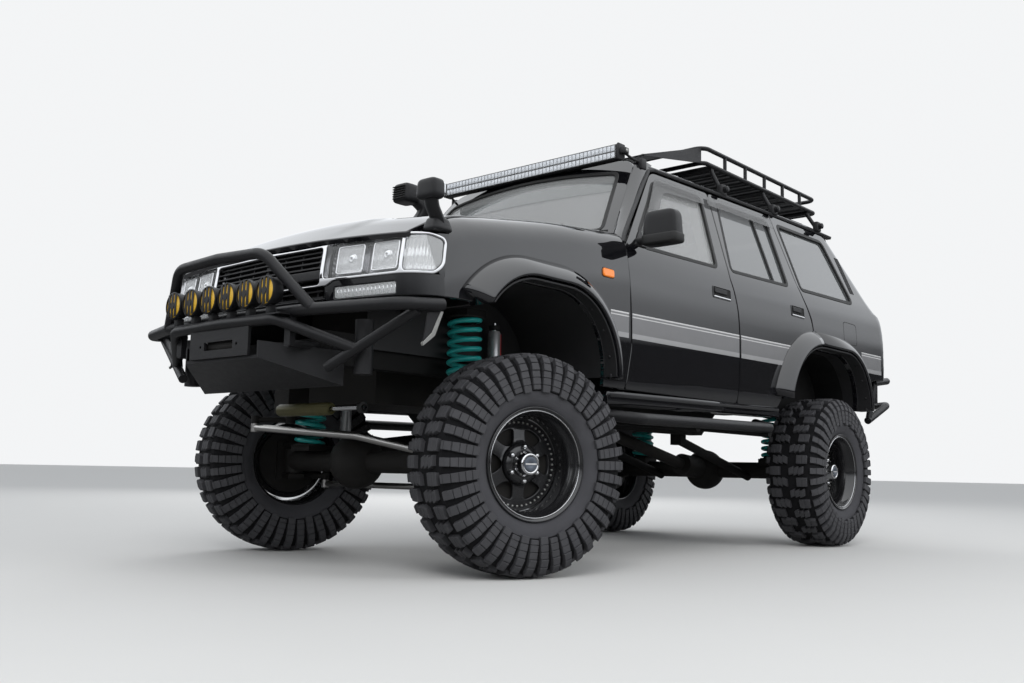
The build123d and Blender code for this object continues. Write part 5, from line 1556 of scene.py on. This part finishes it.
def rim():
    """Deep black wheel: stepped barrel, a disc with six windows, a ring of bolts and the hub."""
    barrel = revolve([(-0.125, 0.228), (-0.125, 0.219), (-0.112, 0.210), (-0.060, 0.204), (0.010, 0.190),
                      (0.075, 0.190), (0.098, 0.197), (0.104, 0.204), (0.124, 0.208), (0.134, 0.214),
                      (0.138, 0.221), (0.1415, 0.2235), (0.1425, 0.2275), (0.139, 0.2305), (0.130, 0.229),
                      (0.118, 0.216), (0.085, 0.200), (-0.085, 0.212), (-0.115, 0.218)], 128)
    # A thin chrome ring inside the lip: a painted highlight for the bright reflection along the gloss black
    # lip.
    lip = revolve([(0.1345 + 0.0022 * math.cos(a), 0.2130 + 0.0022 * math.sin(a))
                   for a in np.linspace(0, 2 * math.pi, 8, endpoint=False)], 128)
    shapes = [(barrel, RIM), (lip, CHROME)]

    def disc_skin(y, z):
        radius = np.sqrt(y * y + z * z)
        x = np.interp(radius, [0.0, 0.075, 0.095, 0.150, 0.170, 0.192],
                      [0.022, 0.022, 0.010, 0.004, -0.004, -0.006])
        return np.stack([x + 0 * y, y, z], -1)

    outline = [polar(0.191, a) for a in np.arange(0, 360, 5)]
    windows = []
    for k in range(6):
        corners = [(0.150, -19, 0.030), (0.152, 0, 0.05), (0.150, 19, 0.030), (0.100, 14, 0.020),
                   (0.088, 0, 0.02), (0.100, -14, 0.020)]
        windows.append(rounded([(*polar(r, a + 60 * k), c) for r, a, c in corners], 0.02, 5))
    disc = panel(outline, disc_skin, LEFT, windows, depth=0.014, edge=0.004, step=(0.016, 0.016))
    shapes.append((disc, DISC))
    shapes += bolt_ring(48, 0.171, 0, -0.006, bar((0, 0, 0), (0.008, 0, 0), 0.0048, 6, 0.001), STEEL)
    cap = revolve([(0.016, 0.088), (0.030, 0.083), (0.039, 0.072), (0.043, 0.058), (0.044, 0.040),
                   (0.016, 0.040)], 64)
    shapes.append((cap, RIM))
    nut = revolve([(0, 0.0125), (0.016, 0.0125), (0.022, 0.0100), (0.026, 0.005), (0.0265, 0.0005),
                   (0, 0.0005)], 6)
    return shapes + bolt_ring(6, NUT_CIRCLE / 2, 30, 0.034, nut, CHROME) + locking_hub()


def bolt_ring(count, radius, first, x, shape, material):
    """The same shape repeated round the axle, the first one at an angle in degrees."""
    return [(moved(shape, at(x, *polar(radius, first + k * 360 / count))), material) for k in range(count)]


def locking_hub():
    """Free-wheel hub: a stepped bright body with small screws and a plain dial with one line."""
    body = revolve([(0.040, 0.052), (0.056, 0.052), (0.060, 0.049), (0.062, 0.047), (0.092, 0.0455),
                    (0.096, 0.043), (0.098, 0.039), (0.098, 0.0325), (0.094, 0.0320), (0.094, 0.0005),
                    (0.040, 0.0005)], 48)
    dial = revolve([(0.094, 0.0305), (0.0975, 0.0300), (0.0985, 0.0280), (0.0985, 0.0005),
                    (0.094, 0.0005)], 36)
    line = block(0.0985, 0.1000, -0.0028, 0.0028, -0.0265, 0.0265, 0.0005)
    shapes = [(body, CHROME), (dial, DIAL), (moved(line, turn(90, "X")), STRIPE_PALE)]
    for k in range(6):
        y, z = polar(0.0485, 60 * k)
        shapes.append((moved(bar((0, 0, 0), (0.008, 0, 0), 0.0038, 6, 0.001), at(0.058, y, z)), STEEL))
        y, z = polar(0.0360, 60 * k + 30)
        shapes.append((moved(bar((0, 0, 0), (0.003, 0, 0), 0.0022, 6, 0.0005), at(0.097, y, z)), STEEL))
    return shapes


def wheels():
    """The four tyres and rims; the front pair stands turned, as the frame does."""
    kinds = (("tyre", "tyre", tyre(), "tyre_rubber", 30), ("rim", "wheel", rim(), "wheel_paint", 38))
    for end, y in (("front", 0.0), ("rear", WHEELBASE)):
        for hand, sign in zip(HANDS, (1, -1)):
            place = at(sign * TYRE_X, y, HUB_Z)
            if end == "front":
                king = sign * abs(KING_X)
                place = at(king, 0, 0) @ turn(math.degrees(STEER), "Z") @ at(-king, 0, 0) @ place
            for kind, node, shapes, slot, crease in kinds:
                piece = Piece("%s_%s_%s" % (end, kind, hand), "%s_wheel_%s" % (end, hand), slot)
                for geo, material in shapes:
                    piece.add(moved(geo if sign > 0 else flip(geo), place), material)
                piece.done("%s_%s_%s" % (end, node, hand), crease=crease)


# Springs, dampers and steering damper

# x, y, foot, top, turns
SPRINGS = [(0.520, -0.059, 0.526, 1.080, 13.5), (0.500, WHEELBASE, 0.526, 0.930, 9.5)]
# x, y, foot, top
DAMPERS = [(0.505, 0.150, 0.560, 1.080), (0.545, WHEELBASE + 0.130, 0.560, 0.960)]


def coil(x, y, z0, z1, turns, wire=0.0112, radius=0.0655):
    """A coil spring whose end turns lie closer."""
    angle = np.linspace(0, 2 * math.pi * turns, int(turns * 22))
    share = angle / angle[-1]
    height = (z1 - z0 - 2 * wire) * np.clip((share - 0.5) * 1.06 + 0.5, 0, 1)
    path = np.stack([x + radius * np.cos(angle), y + radius * np.sin(angle), z0 + wire + height], 1)
    return sweep(path, ring(wire, 10))


def springs():
    """The four coil springs, and the seats above and below each."""
    piece = Piece("coil_springs", "chassis", "spring_paint")
    for x, y, z0, z1, turns in SPRINGS:
        piece.add(coil(x, y, z0, z1, turns), TEAL, True)
    piece.done("springs")
    seat = revolve([(0, 0.082), (0.006, 0.082), (0.008, 0.060), (0.026, 0.050), (0.030, 0.030),
                    (0, 0.030)], 32)
    piece = Piece("spring_seats", "chassis", "underbody")
    for x, y, z0, z1, _ in SPRINGS:
        for z, way in ((z0, 1), (z1, -1)):
            piece.add(moved(seat, facing(x, y, z, (0, 0, way))), IRON, True)
    piece.done()


def damper(piece, low, high, body, material, rod=None, radius=0.026):
    """Telescopic damper: tube, shaft and the nut at its end; some have a coloured rod beside the tube."""
    a, b = Vector(low), Vector(high)
    way = (b - a).normalized()
    length = (b - a).length
    tube = revolve([(0.0, 0.012), (0.0, radius), (0.006, radius + 0.002), (body - 0.01, radius + 0.002),
                    (body, radius - 0.003), (body, 0.012)], 32)
    shaft = revolve([(body * 0.5, 0.0095), (length, 0.0095), (length, 0.0005), (body * 0.5, 0.0005)], 20)
    nut = revolve([(length - 0.030, 0.024), (length - 0.012, 0.024), (length - 0.010, 0.014),
                   (length - 0.030, 0.014)], 24)
    for geo, mat in ((tube, material), (shaft, CHROME), (nut, SEAL)):
        piece.add(moved(geo, facing(*a, way)), mat)
    if rod:
        start, end = a + Vector((0, radius + 0.010, 0.28)), a + Vector((0, radius + 0.010, body - 0.01))
        piece.add(bar(start, end, 0.007, 10), rod)


def dampers():
    """The four dampers and the steering damper across the front axle."""
    piece = Piece("dampers_and_stabiliser", "chassis", "bare_steel")
    for x, y, foot, top in DAMPERS:
        for sign in (1, -1):
            damper(piece, (sign * x, y, foot), (sign * x, y, top), 0.93 * (top - foot), SILVER, RED)
    damper(piece, (-0.250, -0.440, 0.672), (0.330, -0.440, 0.672), 0.36, GOLD)
    piece.done("dampers")


# Lamps and fittings

LAMP_ROW_Y = -0.898


def bumper_lamps():
    """Six round lamps on the bumper's bar, each with a yellow face behind a dark guard."""
    shell = revolve([(0, 0.030), (0.004, 0.044), (0.020, 0.054), (0.052, 0.058), (0.060, 0.058),
                     (0.062, 0.054), (0.054, 0.052), (0.050, 0.002), (0, 0.002)], 40)
    face = revolve([(0.054, 0.0525), (0.058, 0.048), (0.062, 0.030), (0.063, 0.001), (0.050, 0.001),
                    (0.050, 0.0525)], 40)
    boss = revolve([(0.062, 0.018), (0.066, 0.016), (0.066, 0.001), (0.062, 0.001)], 6)
    face_radius, guard_pitch = 0.053, 0.024
    piece = Piece("bumper_lamps", "chassis", "lamp_lens")
    for x in (0.065, -0.065, 0.194, -0.194, 0.325, -0.325):
        place = facing(x, LAMP_ROW_Y, 1.087, AHEAD)
        piece.add(moved(shell, place), SATIN).add(moved(face, place), YELLOW)
        for k in (-1, 0, 1):
            wide = math.sqrt(face_radius ** 2 - (guard_pitch * k) ** 2)
            guard = block(0.0625, 0.0655, -0.0072, 0.0072, -wide, wide, 0.001)
            piece.add(moved(guard, place @ at(0, guard_pitch * k, 0)), TRIM)
        piece.add(moved(boss, place), TRIM)
        piece.add(block(x - 0.012, x + 0.012, LAMP_ROW_Y - 0.045, LAMP_ROW_Y - 0.010, 1.002, 1.036), TRIM)
    piece.done("driving_lamps")


def bumper_brackets():
    """Plates between the main bar's ends and the braces, and a dark bar behind the fairlead as painted
    shade.
    """
    piece = Piece("bumper_brackets", "chassis", "bare_steel")
    outline = rounded([(-0.617, 1.002), (-0.541, 1.012), (-0.584, 0.922), (-0.640, 0.879)], 0.008)
    rim = rounded([(-0.556, 1.010), (-0.539, 1.012), (-0.581, 0.916), (-0.641, 0.872), (-0.645, 0.884),
                   (-0.598, 0.926)], 0.003)
    for loop, depth, material in ((outline, 0.006, SATIN), (rim, 0.010, ZINC)):
        plate = panel(loop, lambda y, z: np.stack([0.866 + depth / 2 + 0 * y, y, z], -1), LEFT,
                      depth=depth, edge=0.0012)
        piece.add(plate, material, True)
    # A dark round bar shaped like a winch drum across behind the fairlead's slot: painted shade, so that
    # the slot shows dark.
    piece.add(bar((-0.112, -0.895, 0.899), (0.112, -0.895, 0.899), 0.030), IRON)
    piece.done()


def light_bar():
    """Long lamp over the windscreen: ribbed housing, two rows of cells, clear cover and its brackets."""
    piece = Piece("roof_light_bar", "chassis", "trim")
    piece.add(block(-0.622, 0.622, 0.932, 0.984, 2.020, 2.100, 0.006), SATIN)
    for x in (-0.624, 0.624):
        piece.add(block(x - 0.006, x + 0.006, 0.927, 0.988, 2.017, 2.103), TRIM)
    for z in np.linspace(2.030, 2.090, 6):
        piece.add(block(-0.610, 0.610, 0.984, 0.992, z - 0.002, z + 0.002, 0.0008), SATIN)
    columns = 48
    pitch = 1.210 / columns
    for z in (2.042, 2.078):
        for k in range(columns):
            piece.add(lamp_cell(-0.605 + pitch * (k + 0.5), z, pitch * 0.42), LED)
    cover = panel(rect(-0.612, 0.612, 2.024, 2.096, 0.004),
                  lambda x, z: np.stack([x, 0.9262 + 0 * x, z], -1), AHEAD, depth=0.001, edge=0.0004,
                  step=(0.3, 0.3))
    piece.add(cover, FILM)
    for sign in (1, -1):
        ear, foot = sign * 0.646, sign * 0.676
        strut = [(sign * 0.634, 0.958, 2.060), (ear, 1.010, 2.040), (sign * 0.668, 1.075, 2.018)]
        piece.add(pipe(strut, 0.007, 0.02, 10), TRIM)
        piece.add(block(ear - 0.014, ear + 0.014, 0.935, 0.980, 2.045, 2.078), TRIM)
        piece.add(block(foot - 0.012, foot + 0.012, 1.055, 1.100, 1.985, 2.040), TRIM)
        piece.add(dome(sign * 0.660, 0.958, 2.060, 0.012, (sign, 0, 0)), ZINC)
    piece.done("light_bar")


def lamp_cell(x, z, half):
    """One cell of the light bar: a flat field with four sloping sides, open at its back."""
    rim = [(x - half, z - 0.0140), (x + half, z - 0.0140), (x + half, z + 0.0140), (x - half, z + 0.0140)]
    field = [(x + (px - x) * 0.3, z + (pz - z) * 0.3) for px, pz in rim]
    points = [(px, 0.9300, pz) for px, pz in rim] + [(px, 0.9285, pz) for px, pz in field]
    faces = [(0, 1, 5, 4), (1, 2, 6, 5), (2, 3, 7, 6), (3, 0, 4, 7), (4, 5, 6, 7)]
    return np.array(points), faces, None


def snorkel():
    """Raised air intake on the right side: a duct up the pillar, its head and two clamps."""
    piece = Piece("air_intake", "chassis", "trim")
    path = spline([(-0.950, 0.270, 1.385), (-0.950, 0.420, 1.450), (-0.900, 0.640, 1.590),
                   (-0.822, 0.810, 1.800), (-0.775, 0.905, 1.945), (-0.795, 0.860, 2.020)], 7)
    collar = revolve([(0, 0.040), (0.030, 0.040), (0.032, 0.036), (0, 0.036)], 28)
    piece.add(sweep(path, rect(-0.036, 0.036, -0.030, 0.030, 0.018)), SATIN)
    piece.add(moved(collar, facing(-0.800, 0.848, 1.988, UP)), SEAL)
    piece.add(moved(blob((0.138, 0.128, 0.118), 0.38, (0.1, 0.1), 18, 32), at(-0.818, 0.805, 2.042)), SATIN)
    for k in range(6):
        z = 2.006 + 0.014 * k
        piece.add(block(-0.868, -0.768, 0.7370, 0.7465, z - 0.003, z + 0.003, 0.001), MESH_DARK)
    piece.add(moved(blob((0.120, 0.230, 0.080), 0.5), at(-0.935, 0.240, 1.370)), SATIN)
    for x, y, z in ((-0.860, 0.700, 1.66), (-0.780, 0.860, 1.88)):
        piece.add(moved(blob((0.060, 0.030, 0.030), 0.5), at(x + 0.02, y, z)), TRIM)
    piece.done("snorkel")


def rack_details():
    """Clamps, fairing bolts and cross slats of the roof rack."""
    piece = Piece("rack_clamps", "chassis", "black_steel")
    knob = revolve([(0, 0.020), (0.020, 0.020), (0.024, 0.014), (0.024, 0.001), (0, 0.001)], 8)
    for y in (1.900, 2.540, 3.180):
        z = GUTTER_Z + RISE * y
        for sign in (1, -1):
            x = sign * 0.672
            piece.add(block(x - 0.014, x + 0.022, y - 0.030, y + 0.030, z - 0.004, z + 0.060, 0.006), TRIM)
            piece.add(moved(knob, facing(sign * 0.694, y, z + 0.030, (sign, 0, 0))), SATIN)
    for x in np.linspace(-0.54, 0.54, 5):
        for y, z in ((1.700, 2.274), (1.280, 2.143)):
            piece.add(dome(x, y, z, 0.010, (0, -0.3, 1)), ZINC)
    for y in np.linspace(1.9723, 3.1117, 10):
        piece.add(bar((-0.606, y, 2.212), (0.606, y, 2.212), 0.010, 8), SATIN)
    piece.done()


# Cabin

DRIVER_X = -0.370


def cushion(x, y, z, size, crown=0.02, tilt=0.0, channels=3):
    """A crowned pad whose sides pull in between its corners, with sewn channels across."""
    rows, columns = 26, 34
    u, v = np.meshgrid(np.linspace(-1, 1, columns), np.linspace(-1, 1, rows))
    wide, long, tall = np.array(size) / 2
    px = wide * u * (1 - 0.03 * (1 - v ** 2) * np.abs(u))
    py = long * v * (1 - 0.03 * (1 - u ** 2) * np.abs(v))
    edge = (1 - np.abs(u) ** 6) * (1 - np.abs(v) ** 6)
    seam = sum(np.exp(-((u - s) * wide / 0.006) ** 2) for s in np.linspace(-0.5, 0.5, channels))
    bulge = crown * (1 - u ** 2) * (1 - v ** 2)
    top = tall * (1 - 0.35 * (1 - edge)) + bulge - 0.006 * seam * edge
    low = -tall * (1 - 0.35 * (1 - edge))
    points = np.concatenate([np.stack([px, py, z], -1).reshape(-1, 3) for z in (top, low)])
    total = rows * columns
    faces = grid_faces(rows, columns)
    faces += [tuple(np.array(f[::-1]) + total) for f in faces]
    border = list(range(columns)) + [r * columns + columns - 1 for r in range(1, rows)]
    border += [total - 1 - k for k in range(1, columns)] + [r * columns for r in range(rows - 2, 0, -1)]
    faces += [(b, a, a + total, b + total) for a, b in zip(border, border[1:] + border[:1])]
    return moved((points, faces, None), at(x, y, z) @ turn(tilt, "X"))


def seats():
    """Front seats and rear bench as separate pads."""
    pads = []
    for hand, x in zip(HANDS, (-DRIVER_X, DRIVER_X)):
        pads += [("front_seat_cushion_" + hand, cushion(x, 1.405, 1.125, (0.49, 0.50, 0.115))),
                 ("front_seat_back_" + hand, cushion(x, 1.720, 1.440, (0.47, 0.60, 0.105), 0.012, 74)),
                 ("front_head_rest_" + hand, cushion(x, 1.800, 1.800, (0.25, 0.16, 0.085), 0.008, 74, 1))]
    pads += [("rear_bench_cushion", cushion(0, 2.325, 1.170, (1.11, 0.46, 0.105), 0.015, 0, 5)),
             ("rear_bench_back", cushion(0, 2.620, 1.470, (1.11, 0.58, 0.105), 0.010, 72, 5))]
    for name, geo in pads:
        piece = Piece(name, "chassis", "seat_cloth")
        piece.add(geo, CLOTH)
        done = piece.done(crease=70)
    piece = Piece("seat_bases", "chassis", "trim")
    for x in (DRIVER_X, -DRIVER_X):
        piece.add(block(x - 0.19, x + 0.19, 1.25, 1.60, 0.832, 1.064, 0.02), VINYL)
        for dx in (-0.06, 0.06):
            piece.add(bar((x + dx, 1.775, 1.70), (x + dx, 1.790, 1.76), 0.006, 10), STEEL)
    piece.add(block(-0.50, 0.50, 2.15, 2.50, 1.087, 1.118, 0.008), VINYL)
    piece.done("seats")


def dashboard():
    """Dash with the instruments' hood, the middle stack and two vents."""
    piece = Piece("dash", "chassis", "trim")
    section = rounded([(0.722, 1.205), (0.955, 1.185), (0.998, 1.330), (0.940, 1.468), (0.722, 1.498)],
                      0.03)
    rows = [[(x, y, z) for y, z in section] for x in np.linspace(-0.755, 0.755, 9)]
    piece.add(loft(rows), VINYL)
    piece.add(moved(blob((0.42, 0.20, 0.09), 0.4), at(DRIVER_X, 0.890, 1.470)), VINYL)
    piece.add(block(-0.16, 0.16, 0.960, 1.004, 1.230, 1.420, 0.012), TRIM)
    for k in range(4):
        z = 1.260 + 0.04 * k
        piece.add(block(-0.13, 0.13, 1.000, 1.010, z, z + 0.025), SATIN)
    for x in (-0.66, 0.66):
        piece.add(block(x - 0.07, x + 0.07, 0.965, 0.998, 1.36, 1.43, 0.01), MESH_DARK)
    piece.done("dashboard")


def steering_wheel():
    """Three-spoked wheel on the car's right, on its sloping column."""
    column = at(DRIVER_X, 1.080, 1.440) @ turn(-62, "X")
    piece = Piece("steering_wheel_rim", "steering_wheel", "trim")
    angle = np.linspace(0, 2 * math.pi, 64, endpoint=False)
    path = np.stack([0.185 * np.cos(angle), 0.185 * np.sin(angle), 0 * angle], 1)
    piece.add(moved(sweep(path, ring(0.0145, 12), True), column), TRIM)
    piece.add(moved(blob((0.115, 0.110, 0.055), 0.6), column), VINYL)
    for x, y in ((1, 0), (-1, 0), (0, -1)):
        spoke = [(0.05 * x, 0.05 * y, 0), (0.175 * x, 0.175 * y, 0)]
        piece.add(moved(sweep(spoke, rect(-0.013, 0.013, -0.006, 0.006, 0.004)), column), TRIM)
    piece.add(moved(bar((0, 0, -0.11), (0, 0, -0.01), 0.020, 20), column), TRIM)
    piece.done("steering_wheel")


def carried_over():
    """Finishes of the construction pieces that show as they are."""
    repaint(SATIN, "front_bumper", "rear_bumper", "roof_rack", "sliders", "reservoirs")
    repaint(FRAME_COAT, "frame", "cross_members", "suspension_links", "floor", "wheelhouses", "bulkhead")
    repaint(IRON, "front_axle", "rear_axle", "drivetrain", "prop_shafts", "knuckle_left", "knuckle_right",
            "steering_box", "pitman_arm")
    repaint(STEEL, "tie_rod", "drag_link")
    repaint(GLASS, "windscreen", "front_window_left", "front_window_right")
    repaint(TINT, "rear_window_left", "rear_window_right", "quarter_windows", "tailgate_window")


def build():
    studio_floor()
    studio_world()
    studio_lamps()
    camera()
    door_panels()
    side_panels()
    wings()
    hood()
    nose()
    fender_mirror()
    door_mirrors()
    screen_frame()
    pillar_trims()
    wipers()
    roof()
    lower_tailgate()
    upper_tailgate()
    wheels()
    springs()
    dampers()
    bumper_lamps()
    bumper_brackets()
    light_bar()
    snorkel()
    rack_details()
    seats()
    dashboard()
    steering_wheel()
    carried_over()


build()
